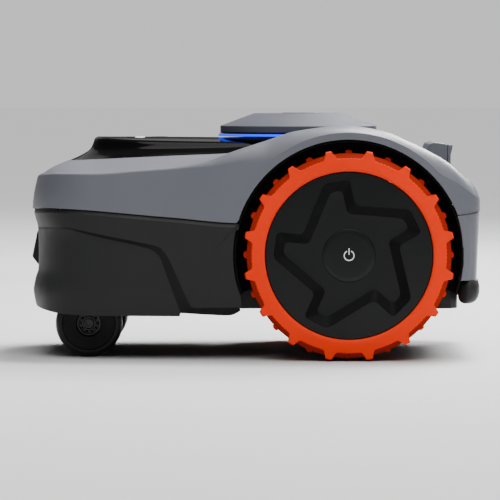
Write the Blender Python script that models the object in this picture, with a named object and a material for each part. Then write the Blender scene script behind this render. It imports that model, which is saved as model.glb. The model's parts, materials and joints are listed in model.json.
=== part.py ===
"""Robotic lawn mower: two driven wheels at the rear, two casters in front, one cutting disc between them.

The machine stands on z = 0 with its nose towards -X and its left side towards +Y.
The origin is under the middle of its bounding box. All dimensions are in metres.
"""
import math

import bmesh
import bpy
from mathutils import Matrix, Vector

# ---- driving dimensions ----------------------------------------------------------------------
HALF_WIDTH = 0.1925
WALL = 0.003                     # moulded covers
GAP = 0.0004                     # between touching pieces
SIDES = (("left", 1), ("right", -1))

WHEEL_X = 0.1133                 # drive wheel centre
WHEEL_RADIUS = 0.126             # over the lug tips
TREAD_RADIUS = 0.1215
SHOULDER_RADIUS = 0.1153
TYRE_BORE = 0.1002
WHEEL_INNER_Y = 0.1425
LUG_COUNT = 16
ARCH_RADIUS = 0.138
ARCH_INNER_Y = 0.1342            # depth of the arch cut, just outside the tub
RIM_RADIUS = 0.0998
HUB_FACE_Y = 0.1915
STAR_DEPTH = 0.007
STAR_WALL = 0.0105               # width of the recess's sloping walls
STAR_TURN = math.radians(99.6)   # direction of the first arm
HUB_CAP_RADIUS = 0.0314
AXLE_RADIUS = 0.007

CASTER_RADIUS = 0.0405
CASTER_X = -0.1995
CASTER_Y = 0.100
CASTER_TRAIL = 0.018             # wheel centre ahead of the swivel axis
SWIVEL_X = CASTER_X + CASTER_TRAIL
SWIVEL_STEM_RADIUS = 0.006
SWIVEL_BOSS_RADIUS = 0.014
POCKET_RADIUS = 0.0625
POCKET_ROOF = 0.0905
FLANK_Y = 0.135                  # outside this the casters swing in the open

TUB_FRONT = -0.236
TUB_REAR = 0.246
TUB_HALF_WIDTH = 0.1345
TUB_FLOOR = 0.060
TUB_TOP = 0.178
TUB_WALL = 0.0035
COVER_LOW = TUB_TOP + GAP        # inner lid of the tub
COVER_TOP = COVER_LOW + 0.003
BATTERY_FRONT = 0.070
BATTERY_REAR = 0.228
BATTERY_HALF_WIDTH = 0.090
HATCH_MARGIN = 0.005             # battery cover beyond the battery, all round
BOARD_FRONT = 0.030
BOARD_REAR = 0.190
BOARD_HALF_WIDTH = 0.036
BOARD_THICKNESS = 0.0016

BUMPER_REAR = 0.010              # the skirt reaches back to here before the arch is cut
CHARGE_WINDOW_HALF_WIDTH = 0.030
CHARGE_WINDOW_LOW = 0.102
CHARGE_WINDOW_HIGH = 0.153
REAR_PANEL_FRONT = 0.215
HANDLE_HALF_LENGTH = 0.066
POST_FRONT = 0.2105
POST_REAR = 0.2405
POST_Y = 0.057
POST_WIDTH = 0.014

CUTTER_X = -0.050
WELL_RADIUS = 0.0975
WELL_ROOF = 0.112
DISC_RADIUS = 0.074
DISC_Z = 0.061
BLADE_REACH = 0.090
BLADE_COUNT = 3
COLUMN_RADIUS = 0.031
CARRIAGE_Z = 0.162
ROD_OFFSET = 0.055
ROD_RADIUS = 0.005
SCREW_X = CUTTER_X + 0.045
SCREW_RADIUS = 0.004
SCREW_LOW = WELL_ROOF + WALL + GAP
COLUMN_BORE = 0.0285
BLADE_PIN_RADIUS = 0.064         # of the circle the blade pins stand on
BLADE_HALF_WIDTH = 0.0085

POD_X = 0.0553
POD_RADIUS = 0.0965
POD_TOP_RADIUS = 0.0548
RING_RADIUS = 0.0990
RING_LOW = 0.2646
RING_HIGH = 0.2705
POD_RIM_Z = 0.2787
POD_TOP_Z = 0.2942
POD_CAP_Z = 0.2948
POD_CAP_RADIUS = 0.020
NECK_RADIUS = 0.080
NECK_LOW = 0.2350

DECK_TOP = 0.2653
DECK_CROWN = 0.005               # rise of the deck's middle line over its edges
DECK_CROWN_HALF_WIDTH = 0.076
DISPLAY_X = -0.170
DISPLAY_HALF_LENGTH = 0.012
DISPLAY_HALF_WIDTH = 0.022
DISPLAY_LOW = 0.2632
KEY_RADIUS = 0.0062
KEY_HEIGHT = 0.006
BUTTONS = (("power_key", -0.140, 0.024, KEY_RADIUS), ("start_key", -0.140, 0.0, KEY_RADIUS),
           ("home_key", -0.140, -0.024, KEY_RADIUS), ("stop_button", -0.116, 0.0, 0.011))

LARGE = 36                       # sides of large round pieces
MEDIUM = 20
SMALL = 12

# ---- outlines and height lines ---------------------------------------------------------------
# Half outlines from the nose to the tail; the other half is mirrored. Both have the same number of
# points, so that a station on one has its partner on the other.
OUTER_HALF = (
    (-0.2726, 0.0), (-0.2705, 0.050), (-0.2640, 0.098), (-0.2500, 0.135), (-0.2220, 0.160),
    (-0.1750, 0.1725), (-0.1000, 0.1800), (-0.0200, 0.1855), (0.0600, 0.1870), (0.1400, 0.1870),
    (0.2150, 0.1865), (0.2560, 0.1760), (0.2690, 0.1400), (0.2726, 0.0700), (0.2726, 0.0),
)
DECK_HALF = (
    (-0.2266, 0.0), (-0.2245, 0.022), (-0.2170, 0.045), (-0.2030, 0.066), (-0.1800, 0.084),
    (-0.1450, 0.097), (-0.0900, 0.105), (-0.0200, 0.108), (0.0600, 0.110), (0.1200, 0.108),
    (0.1600, 0.100), (0.1820, 0.086), (0.1930, 0.066), (0.1980, 0.035), (0.1990, 0.0),
)
STEPS_PER_SPAN = 2

PARTING = ((-0.2726, 0.1780), (-0.2450, 0.1810), (-0.1000, 0.1712), (-0.0170, 0.1648),
           (0.1133, 0.1700), (0.2400, 0.1740), (0.2726, 0.1785))
CREST = ((-0.2726, 0.2210), (-0.2516, 0.2225), (-0.1879, 0.2237), (-0.1398, 0.2276), (-0.0927, 0.2315),
         (-0.0554, 0.2384), (-0.0289, 0.2482), (0.0142, 0.2624), (0.0525, 0.2742), (0.1089, 0.2803),
         (0.1467, 0.2757), (0.1839, 0.2609), (0.2222, 0.2403), (0.2507, 0.2168), (0.2726, 0.2040))
INNER_EDGE = ((-0.2266, 0.2366), (-0.1879, 0.2388), (-0.1310, 0.2418), (-0.0289, 0.2464), (0.0600, 0.2520),
              (0.1200, 0.2480), (0.1600, 0.2370), (0.1990, 0.2210))
DRAFT = ((-0.2726, 0.0080), (-0.2300, 0.0045), (-0.1000, 0.0030), (0.2726, 0.0040))
CREST_ROUND = ((-0.2726, 0.0030), (-0.0700, 0.0040), (0.0100, 0.0150), (0.2000, 0.0180), (0.2726, 0.0200))
DECK_LINE = ((-0.2266, 0.2640), (-0.1900, DECK_TOP), (0.0600, 0.2630), (0.1300, 0.2560), (0.1990, 0.2270))
SKIRT_BOTTOM = ((-0.2726, 0.0540), (-0.2400, 0.0570), (-0.0140, 0.0545))

# Section of the deck wall: (inset from the edge, share of its height), hollow towards the top.
DECK_WALL = ((0.0, 0.0), (0.0100, 0.15), (0.0220, 0.39), (0.0287, 0.70), (0.0338, 1.0))

# ---- finishes: colour, roughness, metallic ---------------------------------------------------
FINISHES = {
    "shell_grey": ((0.13, 0.14, 0.165), 0.42, 0.0),
    "skirt_black": ((0.018, 0.019, 0.019), 0.55, 0.0),
    "deck_gloss": ((0.006, 0.006, 0.006), 0.12, 0.0),
    "hub_black": ((0.012, 0.013, 0.014), 0.35, 0.0),
    "tyre_orange": ((0.69, 0.065, 0.012), 0.60, 0.0),
    "rubber_black": ((0.015, 0.015, 0.015), 0.75, 0.0),
    "caster_black": ((0.022, 0.021, 0.021), 0.60, 0.0),
    "light_blue": ((0.02, 0.13, 1.0), 0.30, 0.0),
    "steel": ((0.55, 0.55, 0.56), 0.30, 1.0),
    "motor_metal": ((0.40, 0.41, 0.42), 0.45, 1.0),
    "contact_brass": ((0.80, 0.58, 0.25), 0.30, 1.0),
    "board_green": ((0.02, 0.12, 0.05), 0.50, 0.0),
    "battery_grey": ((0.06, 0.07, 0.09), 0.50, 0.0),
    "display_glass": ((0.004, 0.004, 0.005), 0.08, 0.0),
    "key_white": ((0.70, 0.70, 0.70), 0.40, 0.0),
    "stop_red": ((0.60, 0.02, 0.015), 0.40, 0.0),
}


def clear_scene():
    for item in list(bpy.data.objects):
        bpy.data.objects.remove(item)


def material(slot):
    """Return the Principled material of a finish, made once."""
    known = bpy.data.materials.get(slot)
    if known:
        return known
    colour, roughness, metallic = FINISHES[slot]
    made = bpy.data.materials.new(slot)
    made.use_nodes = True
    shader = made.node_tree.nodes["Principled BSDF"]
    shader.inputs["Base Color"].default_value = (*colour, 1.0)
    shader.inputs["Roughness"].default_value = roughness
    shader.inputs["Metallic"].default_value = metallic
    made.diffuse_color = (*colour, 1.0)
    return made


# ---- curves ----------------------------------------------------------------------------------
def height_line(points):
    """Return a smooth function through (x, value) points that never overshoots them."""
    xs = [point[0] for point in points]
    values = [point[1] for point in points]
    slopes = [(values[i + 1] - values[i]) / (xs[i + 1] - xs[i]) for i in range(len(xs) - 1)]
    tangents = [slopes[0]]
    for before, after in zip(slopes, slopes[1:]):
        tangents.append(0.0 if before * after <= 0 else 2 * before * after / (before + after))
    tangents.append(slopes[-1])

    def value_at(x):
        x = min(max(x, xs[0]), xs[-1])
        i = max(j for j in range(len(xs) - 1) if xs[j] <= x)
        span = xs[i + 1] - xs[i]
        t = (x - xs[i]) / span
        rise = values[i + 1] - values[i]
        bend_in = tangents[i] * span - rise
        bend_out = rise - tangents[i + 1] * span
        return values[i] + t * rise + t * (1 - t) * ((1 - t) * bend_in + t * bend_out)

    return value_at


def ramp(value, low, high):
    """Rise from 0 at low to 1 at high, and stay level outside."""
    return min(1.0, max(0.0, (value - low) / (high - low)))


def closed_outline(half):
    """Return a smooth closed loop, anticlockwise seen from above, through a mirrored half outline."""
    lower = [Vector((x, -y)) for x, y in half]
    upper = [Vector((x, y)) for x, y in reversed(half[1:-1])]
    corners = lower + upper
    count = len(corners)
    loop = []
    for i in range(count):
        p0, p1, p2, p3 = (corners[(i + k) % count] for k in (-1, 0, 1, 2))
        for step in range(STEPS_PER_SPAN):
            t = step / STEPS_PER_SPAN
            loop.append(0.5 * (2 * p1 + (p2 - p0) * t + (2 * p0 - 5 * p1 + 4 * p2 - p3) * t ** 2
                               + (3 * p1 - p0 - 3 * p2 + p3) * t ** 3))
    return loop


def inset(points, distance):
    """Move a closed anticlockwise outline inwards by a distance."""
    moved = []
    for i, point in enumerate(points):
        into = (point - points[i - 1]).normalized()
        out = (points[(i + 1) % len(points)] - point).normalized()
        normal_in = Vector((-into.y, into.x))
        normal_out = Vector((-out.y, out.x))
        middle = (normal_in + normal_out).normalized()
        moved.append(point + middle * distance / max(0.3, middle.dot(normal_in)))
    return moved


def rounded(points, radius, steps=4):
    """Round each corner of a closed outline with a short curve."""
    curve = []
    for i, point in enumerate(points):
        before = points[i - 1]
        after = points[(i + 1) % len(points)]
        reach = min(radius, 0.45 * (before - point).length, 0.45 * (after - point).length)
        start = point + (before - point).normalized() * reach
        end = point + (after - point).normalized() * reach
        for step in range(steps + 1):
            t = step / steps
            curve.append((1 - t) ** 2 * start + 2 * t * (1 - t) * point + t ** 2 * end)
    return curve


def rectangle(x_low, x_high, y_low, y_high):
    corners = ((x_low, y_low), (x_high, y_low), (x_high, y_high), (x_low, y_high))
    return [Vector(corner) for corner in corners]


# ---- solids ----------------------------------------------------------------------------------
def add_object(name, mesh, slot, sharp_degrees=32):
    """Link a mesh as a named object with one finish."""
    mesh.materials.append(material(slot))
    mesh.shade_smooth()
    mesh.set_sharp_from_angle(angle=math.radians(sharp_degrees))
    piece = bpy.data.objects.new(name, mesh)
    bpy.context.collection.objects.link(piece)
    return piece


def mesh_from(name, vertices, faces):
    """Build a mesh and turn its faces outwards."""
    mesh = bpy.data.meshes.new(name)
    mesh.from_pydata([tuple(vertex) for vertex in vertices], [], faces)
    shape = bmesh.new()
    shape.from_mesh(mesh)
    bmesh.ops.recalc_face_normals(shape, faces=shape.faces)
    shape.to_mesh(mesh)
    shape.free()
    return mesh


def loft(name, rings, slot, closed=False):
    """Skin rings of equal length; the ends are filled, or joined to each other when closed."""
    size = len(rings[0])
    vertices = [point for ring in rings for point in ring]
    faces = []
    for k in range(len(rings) if closed else len(rings) - 1):
        low = k * size
        high = ((k + 1) % len(rings)) * size
        for i in range(size):
            j = (i + 1) % size
            faces.append((low + i, low + j, high + j, high + i))
    if not closed:
        faces.append(tuple(reversed(range(size))))
        faces.append(tuple(range(len(vertices) - size, len(vertices))))
    return add_object(name, mesh_from(name, vertices, faces), slot)


def prism(name, outline, z_low, z_high, slot):
    """Stand a flat outline up between two heights."""
    rings = [[Vector((p.x, p.y, z)) for p in outline] for z in (z_low, z_high)]
    return loft(name, rings, slot)


def side_prism(name, outline, y_low, y_high, slot):
    """Stretch an outline drawn in (x, z) across the machine."""
    rings = [[Vector((p.x, y, p.y)) for p in outline] for y in (y_low, y_high)]
    return loft(name, rings, slot)


def turned(name, profile, slot, segments=MEDIUM, place=Matrix.Identity(4), angle=math.tau, start=0.0):
    """Turn a closed (radius, height) profile about the local Z axis, then place it."""
    full = abs(angle - math.tau) < 1e-6
    count = segments if full else segments + 1
    rings = []
    for i in range(count):
        turn = start + angle * i / segments
        rings.append([Vector((radius * math.cos(turn), radius * math.sin(turn), height))
                      for radius, height in profile])
    piece = loft(name, rings, slot, closed=full)
    shape = bmesh.new()
    shape.from_mesh(piece.data)
    bmesh.ops.remove_doubles(shape, verts=shape.verts, dist=1e-6)
    bmesh.ops.dissolve_degenerate(shape, edges=shape.edges, dist=1e-7)
    bmesh.ops.recalc_face_normals(shape, faces=shape.faces)
    shape.to_mesh(piece.data)
    shape.free()
    piece.matrix_world = place
    return piece


def facing_y(x, z, side=1, y=0.0):
    """Return the placing that points a turned piece's axis outwards, to +Y or -Y."""
    return Matrix.Translation((x, y, z)) @ Matrix.Rotation(-side * math.pi / 2, 4, "X")


def at(x, y, z):
    return Matrix.Translation((x, y, z))


def set_origin(piece, point):
    """Move an object's origin to a point without moving its surface."""
    shift = piece.matrix_world.inverted() @ Vector(point)
    piece.data.transform(Matrix.Translation(-shift))
    piece.matrix_world = piece.matrix_world @ Matrix.Translation(shift)


def combine(piece, tool, operation):
    """Cut, join or trim a piece with a hidden helper."""
    tool.hide_render = True
    tool.display_type = "WIRE"
    change = piece.modifiers.new(tool.name, "BOOLEAN")
    change.operation = operation
    change.solver = "EXACT"
    change.object = tool
    seam = piece.modifiers.new("close_seam", "WELD")
    seam.merge_threshold = 0.00001


def cut(piece, *tools):
    for tool in tools:
        combine(piece, tool, "DIFFERENCE")


def join(piece, *tools):
    for tool in tools:
        combine(piece, tool, "UNION")


def block(name, low, high, slot, corner=0.0):
    """A box between two corners, with its upright edges rounded when asked."""
    outline = rectangle(low[0], high[0], low[1], high[1])
    if corner:
        outline = rounded(outline, corner, 3)
    return prism(name, outline, low[2], high[2], slot)


def cylinder(name, radius, x, y, z_low, z_high, slot, segments=MEDIUM):
    profile = ((0, z_low), (radius, z_low), (radius, z_high), (0, z_high))
    return turned(name, profile, slot, segments, at(x, y, 0))


# ---- shared shapes ---------------------------------------------------------------------------
OUTER_LOOP = closed_outline(OUTER_HALF)
DECK_LOOP = closed_outline(DECK_HALF)
parting_z = height_line(PARTING)
crest_z = height_line(CREST)
inner_z = height_line(INNER_EDGE)
draft_at = height_line(DRAFT)
round_at = height_line(CREST_ROUND)
deck_top_z = height_line(DECK_LINE)
skirt_bottom_z = height_line(SKIRT_BOTTOM)


def nose_to_side(stations, reach):
    """Return the indices of the stations in front of x = reach, from the left side round to the right."""
    half = len(stations) // 2
    order = list(range(half, len(stations))) + list(range(half))
    return [i for i in order if stations[i].x < reach]


def tail_to_side(stations, reach):
    """Return the indices of the stations behind x = reach, from the right side round to the left."""
    return [i for i in range(len(stations)) if stations[i].x > reach]


def arch_cutters(owner):
    """Two discs that open the side walls for the drive wheels."""
    beyond = 0.25
    profile = ((0, ARCH_INNER_Y), (ARCH_RADIUS, ARCH_INNER_Y), (ARCH_RADIUS, beyond), (0, beyond))
    return [turned(f"cut_{owner}_arch_{label}", profile, "skirt_black", 2 * LARGE,
                   facing_y(WHEEL_X, WHEEL_RADIUS, side)) for label, side in SIDES]


def wall_rings(indices, section_at):
    """Sweep a section of (inset, height) points along the outer outline."""
    rings = []
    for i in indices:
        outer = OUTER_LOOP[i]
        inward = (DECK_LOOP[i] - outer).normalized()
        ring = []
        for depth, height in section_at(outer.x):
            spot = outer + inward * depth
            ring.append(Vector((spot.x, spot.y, height)))
        rings.append(ring)
    return rings


# ---- covers ----------------------------------------------------------------------------------
def make_upper_shell():
    rings = []
    edge_loop = inset(DECK_LOOP, -GAP)
    for outer, edge in zip(OUTER_LOOP, edge_loop):
        inward = (edge - outer).normalized()
        width = (edge - outer).length
        low = parting_z(outer.x)
        rim = inner_z(edge.x)
        draft = draft_at(outer.x)
        curve = round_at(outer.x)
        fender = ramp(outer.x, -0.05, 0.02) * ramp(abs(outer.y), 0.09, 0.15)
        crest = crest_z(outer.x + fender * inward.x * (draft + curve))
        ridge = crest_z(outer.x + fender * inward.x * 0.62 * width)
        middle = ridge + (rim - ridge) * (0.60 - 0.38 * fender)
        section = [
            (0.0, low), (draft, crest - curve), (draft + 0.29 * curve, crest - 0.29 * curve),
            (draft + curve, crest), (0.62 * width, middle), (width, rim),
            (width, rim - WALL), (0.62 * width, middle - WALL), (draft + curve, crest - WALL),
            (draft + 0.29 * curve + 0.7 * WALL, crest - 0.29 * curve - 0.7 * WALL),
            (draft + WALL, crest - curve - 0.2 * WALL), (WALL, low),
        ]
        rings.append([Vector((*(outer + inward * depth), height)) for depth, height in section])
    shell = loft("upper_shell", rings, "shell_grey", closed=True)
    cut(shell, *arch_cutters("shell"))
    reach = 0.5 * POST_WIDTH + GAP
    for label, side in SIDES:
        y = side * POST_Y
        cut(shell, block(f"cut_shell_post_{label}", (POST_FRONT - GAP, y - reach, 0.15),
                         (POST_REAR + GAP, y + reach, 0.30), "skirt_black"))


def crown_drop(y):
    """Return how far the deck lies below its middle line at a distance from it."""
    return DECK_CROWN * (y / DECK_CROWN_HALF_WIDTH) ** 2


def make_top_deck():
    """The glossy insert: hollow-sided walls that rise to a gently crowned top."""

    def ring_at(depth, share, lift):
        ring = []
        for edge, spot in zip(DECK_LOOP, inset(DECK_LOOP, depth)):
            low = inner_z(edge.x)
            top = deck_top_z(spot.x) - crown_drop(spot.y)
            ring.append(Vector((spot.x, spot.y, low + (top - low) * share + lift)))
        return ring

    def towards_spine(ring, share):
        moved = []
        for point in ring:
            y = point.y * share
            rise = crown_drop(point.y) - crown_drop(y)
            moved.append(Vector((point.x, y, point.z + rise)))
        return moved

    outside = [ring_at(depth, share, 0.0) for depth, share in DECK_WALL]
    inside = [ring_at(depth + WALL, share, -0.6 * WALL if share else 0.0) for depth, share in DECK_WALL]
    rings = [towards_spine(outside[-1], 0.0), towards_spine(outside[-1], 0.5)] + outside[::-1]
    rings += inside + [towards_spine(inside[-1], 0.5), towards_spine(inside[-1], 0.0)]
    size = len(DECK_LOOP)
    vertices = [point for ring in rings for point in ring]
    faces = []
    for k in range(len(rings) - 1):
        for i in range(size):
            j = (i + 1) % size
            faces.append((k * size + i, k * size + j, (k + 1) * size + j, (k + 1) * size + i))
    mesh = mesh_from("top_deck", vertices, faces)
    shape = bmesh.new()
    shape.from_mesh(mesh)
    bmesh.ops.remove_doubles(shape, verts=shape.verts, dist=1e-5)
    bmesh.ops.dissolve_degenerate(shape, edges=shape.edges, dist=1e-6)
    bmesh.ops.recalc_face_normals(shape, faces=shape.faces)
    shape.to_mesh(mesh)
    shape.free()
    deck = add_object("top_deck", mesh, "deck_gloss")
    room = [(RING_RADIUS + GAP, 0.30)] + neck_outside(GAP)
    room += [(NECK_RADIUS + GAP, 0.20), (0, 0.20), (0, 0.30)]
    neck_room = turned("cut_deck_neck", room, "deck_gloss", LARGE, at(POD_X, 0, 0))
    cut(deck, neck_room)
    for name, x, y, radius in BUTTONS:
        cut(deck, cylinder(f"cut_deck_{name}", radius + GAP, x, y, 0.24, 0.28, "deck_gloss", SMALL))
    length = DISPLAY_HALF_LENGTH + GAP
    width = DISPLAY_HALF_WIDTH + GAP
    cut(deck, block("cut_deck_display", (DISPLAY_X - length, -width, DISPLAY_LOW - GAP),
                    (DISPLAY_X + length, width, 0.28), "deck_gloss"))


def make_front_bumper():
    """The floating skirt round the nose, hollow below the parting line and full again near the ground."""

    def section_at(x):
        top = parting_z(x) - 0.0012
        bottom = skirt_bottom_z(x)
        nose = 1.0 - ramp(x, -0.262, -0.232)
        waist = 0.001 + 0.0070 * nose
        height = top - bottom
        outer = [(0.0015, top), (0.0003, top - 0.003), (0.7 * waist, bottom + 0.84 * height),
                 (waist, bottom + 0.62 * height), (waist, bottom + 0.44 * height),
                 (0.0015, bottom + 0.22 * height), (0.0045, bottom)]
        inner = [(depth + WALL, z) for depth, z in reversed(outer)]
        return outer + inner

    indices = nose_to_side(OUTER_LOOP, BUMPER_REAR)
    bumper = loft("front_bumper", wall_rings(indices, section_at), "skirt_black")
    cut(bumper, *arch_cutters("bumper"))
    cut(bumper, block("cut_bumper_window", (-0.30, -CHARGE_WINDOW_HALF_WIDTH, CHARGE_WINDOW_LOW),
                      (-0.24, CHARGE_WINDOW_HALF_WIDTH, CHARGE_WINDOW_HIGH), "skirt_black"))


def make_rear_panel():
    def section_at(x):
        top = parting_z(x) - 0.0008
        outer = [(0.0003, top), (0.0013, 0.160), (0.0033, 0.127), (0.0046, 0.0957)]
        inner = [(depth + WALL, z) for depth, z in reversed(outer)]
        return outer + inner

    indices = tail_to_side(OUTER_LOOP, REAR_PANEL_FRONT)
    panel = loft("rear_panel", wall_rings(indices, section_at), "shell_grey")
    cut(panel, *arch_cutters("panel"))


def make_rear_bumper():
    def section_at(_):
        return [(0.0030, 0.0952), (0.0006, 0.0868), (0.0020, 0.0765), (0.0090, 0.0700), (0.0180, 0.0677),
                (0.0235, 0.0755), (0.0235, 0.0952)]

    indices = tail_to_side(OUTER_LOOP, REAR_PANEL_FRONT)
    bumper = loft("rear_bumper", wall_rings(indices, section_at), "skirt_black")
    cut(bumper, *arch_cutters("rear_bumper"))


def make_carry_handle():
    """A bar across the tail on two posts that stand on the inner cover."""
    corners = ((0.2090, 0.2445), (0.2145, 0.2575), (0.2205, 0.2592), (0.2431, 0.2555), (0.2415, 0.2435))
    side_view = rounded([Vector(corner) for corner in corners], 0.003, 3)
    handle = side_prism("carry_handle", side_view, -HANDLE_HALF_LENGTH, HANDLE_HALF_LENGTH, "shell_grey")
    for label, side in SIDES:
        y = side * POST_Y
        join(handle, block(f"add_post_{label}", (POST_FRONT, y - 0.5 * POST_WIDTH, COVER_TOP + GAP),
                           (POST_REAR, y + 0.5 * POST_WIDTH, 0.2500), "shell_grey"))


# ---- chassis ---------------------------------------------------------------------------------
def make_chassis_tub():
    tub = block("chassis_tub", (TUB_FRONT, -TUB_HALF_WIDTH, TUB_FLOOR), (TUB_REAR, TUB_HALF_WIDTH, TUB_TOP),
                "skirt_black", 0.020)
    inner = TUB_HALF_WIDTH - TUB_WALL
    cut(tub, block("cut_tub_room", (TUB_FRONT + TUB_WALL, -inner, TUB_FLOOR + TUB_WALL),
                   (TUB_REAR - TUB_WALL, inner, 0.20), "skirt_black", 0.017))
    join(tub, cylinder("add_tub_well", WELL_RADIUS + WALL, CUTTER_X, 0, TUB_FLOOR + 0.001, WELL_ROOF + WALL,
                       "skirt_black", LARGE))
    for label, side in SIDES:
        add_caster_pocket(tub, label, side)
    for label, side in SIDES:
        cut_caster_pocket(tub, label, side)
        cut_axle_hole(tub, label, side)
    hatch = BATTERY_HALF_WIDTH + HATCH_MARGIN
    cut(tub, cylinder("cut_tub_well", WELL_RADIUS, CUTTER_X, 0, 0.04, WELL_ROOF, "skirt_black", LARGE),
        cylinder("cut_tub_column", COLUMN_RADIUS + 0.0025, CUTTER_X, 0, 0.10, 0.13, "skirt_black"),
        block("cut_tub_battery", (BATTERY_FRONT - HATCH_MARGIN, -hatch, 0.05),
              (BATTERY_REAR + HATCH_MARGIN, hatch, 0.07), "skirt_black"))


def add_caster_pocket(tub, label, side):
    y = side * CASTER_Y
    join(tub, cylinder(f"add_tub_pocket_{label}", POCKET_RADIUS + WALL, SWIVEL_X, y, TUB_FLOOR + 0.001,
                       POCKET_ROOF + WALL, "skirt_black"),
         cylinder(f"add_tub_boss_{label}", SWIVEL_BOSS_RADIUS, SWIVEL_X, y, POCKET_ROOF + 0.001, 0.124,
                  "skirt_black", SMALL))


def cut_caster_pocket(tub, label, side):
    """Hollow the pocket, open it sideways and bore the swivel's boss."""
    y = side * CASTER_Y
    near = min(side * FLANK_Y, side * HALF_WIDTH)
    far = max(side * FLANK_Y, side * HALF_WIDTH)
    bore = SWIVEL_STEM_RADIUS + 0.0005
    cut(tub,
        cylinder(f"cut_tub_pocket_{label}", POCKET_RADIUS, SWIVEL_X, y, 0.04, POCKET_ROOF, "skirt_black"),
        cylinder(f"cut_tub_stem_{label}", bore, SWIVEL_X, y, 0.08, 0.13, "skirt_black", SMALL),
        block(f"cut_tub_flank_{label}", (-0.27, near, 0.05), (-0.10, far, 0.13), "skirt_black"))


def cut_axle_hole(tub, label, side):
    radius = AXLE_RADIUS + 0.0015
    profile = ((0, 0.125), (radius, 0.125), (radius, 0.14), (0, 0.14))
    place = facing_y(WHEEL_X, WHEEL_RADIUS, side)
    cut(tub, turned(f"cut_tub_axle_{label}", profile, "skirt_black", SMALL, place))


def make_battery():
    """The pack and the cover that closes its hatch from below."""
    front = BATTERY_FRONT - HATCH_MARGIN + GAP
    rear = BATTERY_REAR + HATCH_MARGIN - GAP
    half_width = BATTERY_HALF_WIDTH + HATCH_MARGIN - GAP
    block("battery_cover", (front, -half_width, TUB_FLOOR + 0.0002), (rear, half_width, TUB_FLOOR + 0.0032),
          "skirt_black")
    block("battery_pack", (BATTERY_FRONT, -BATTERY_HALF_WIDTH, TUB_FLOOR + 0.0036),
          (BATTERY_REAR, BATTERY_HALF_WIDTH, TUB_FLOOR + 0.0300), "battery_grey", 0.006)


def make_chassis_cover():
    """The inner lid of the tub, with the columns that carry the deck and the pod."""
    cover = block("chassis_cover", (TUB_FRONT + 0.002, -TUB_HALF_WIDTH + 0.002, COVER_LOW),
                  (TUB_REAR - 0.002, TUB_HALF_WIDTH - 0.002, COVER_TOP), "skirt_black", 0.018)
    pod_underside = NECK_LOW - GAP
    columns = [(-0.158, 0.046, 0.2575), (POD_X - 0.045, 0.045, pod_underside),
               (POD_X + 0.045, 0.045, pod_underside)]
    for k, (x, y, top) in enumerate(columns):
        for label, side in SIDES:
            join(cover, cylinder(f"add_cover_column_{k}_{label}", 0.006, x, side * y, COVER_LOW + 0.001, top,
                                 "skirt_black", 8))
    screw_room = SCREW_RADIUS + 0.001
    cut(cover, cylinder("cut_cover_screw", screw_room, SCREW_X, 0, 0.17, 0.19, "skirt_black", SMALL))


def make_main_board():
    low = COVER_TOP + GAP
    block("main_board", (BOARD_FRONT, -BOARD_HALF_WIDTH, low),
          (BOARD_REAR, BOARD_HALF_WIDTH, low + BOARD_THICKNESS), "board_green", 0.003)


def make_wheel_well(label, side):
    """A dark liner: an arched band with a narrow flange against the tub."""
    profile = ((0.1040, 0.1349), (0.1370, 0.1349), (0.1370, 0.1800), (0.1347, 0.1800), (0.1347, 0.1374),
               (0.1040, 0.1374))
    first = math.radians(-20 if side < 0 else -200)
    turned(f"wheel_well_{label}", profile, "skirt_black", 28, facing_y(WHEEL_X, WHEEL_RADIUS, side),
           math.radians(220), first)


def make_charge_parts():
    """The nose housing and its two spring contacts."""
    face = ((-0.2364, 0.1500), (-0.2660, 0.1500), (-0.2726, 0.1180), (-0.2650, 0.1080), (-0.2364, 0.1050))
    outline = rounded([Vector(corner) for corner in face], 0.002, 2)
    housing = side_prism("charge_housing", outline, -0.028, 0.028, "skirt_black")
    strip = ((-0.2672, 0.1440), (-0.2718, 0.1220), (-0.2690, 0.1220), (-0.2644, 0.1440))
    slot = ((-0.2720, 0.1445), (-0.2766, 0.1215), (-0.2684, 0.1215), (-0.2638, 0.1445))
    half_width = 0.003
    for label, side in SIDES:
        y = side * 0.014
        side_prism(f"charge_contact_{label}", [Vector(corner) for corner in strip],
                   y - half_width, y + half_width, "contact_brass")
        cut(housing, side_prism(f"cut_charge_slot_{label}", [Vector(corner) for corner in slot],
                                y - half_width - GAP, y + half_width + GAP, "skirt_black"))


# ---- pod -------------------------------------------------------------------------------------
def neck_outside(extra=0.0):
    """Outer side of the bowl-shaped neck, top to bottom, widened by a clearance."""
    return [(RING_RADIUS + extra, 0.2642 + extra), (0.0982 + extra, 0.2610),
            (0.0940 + extra, 0.2560 - extra), (0.0870 + extra, 0.2515 - extra),
            (NECK_RADIUS + extra, 0.2480 - extra), (NECK_RADIUS + extra, NECK_LOW)]


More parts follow.
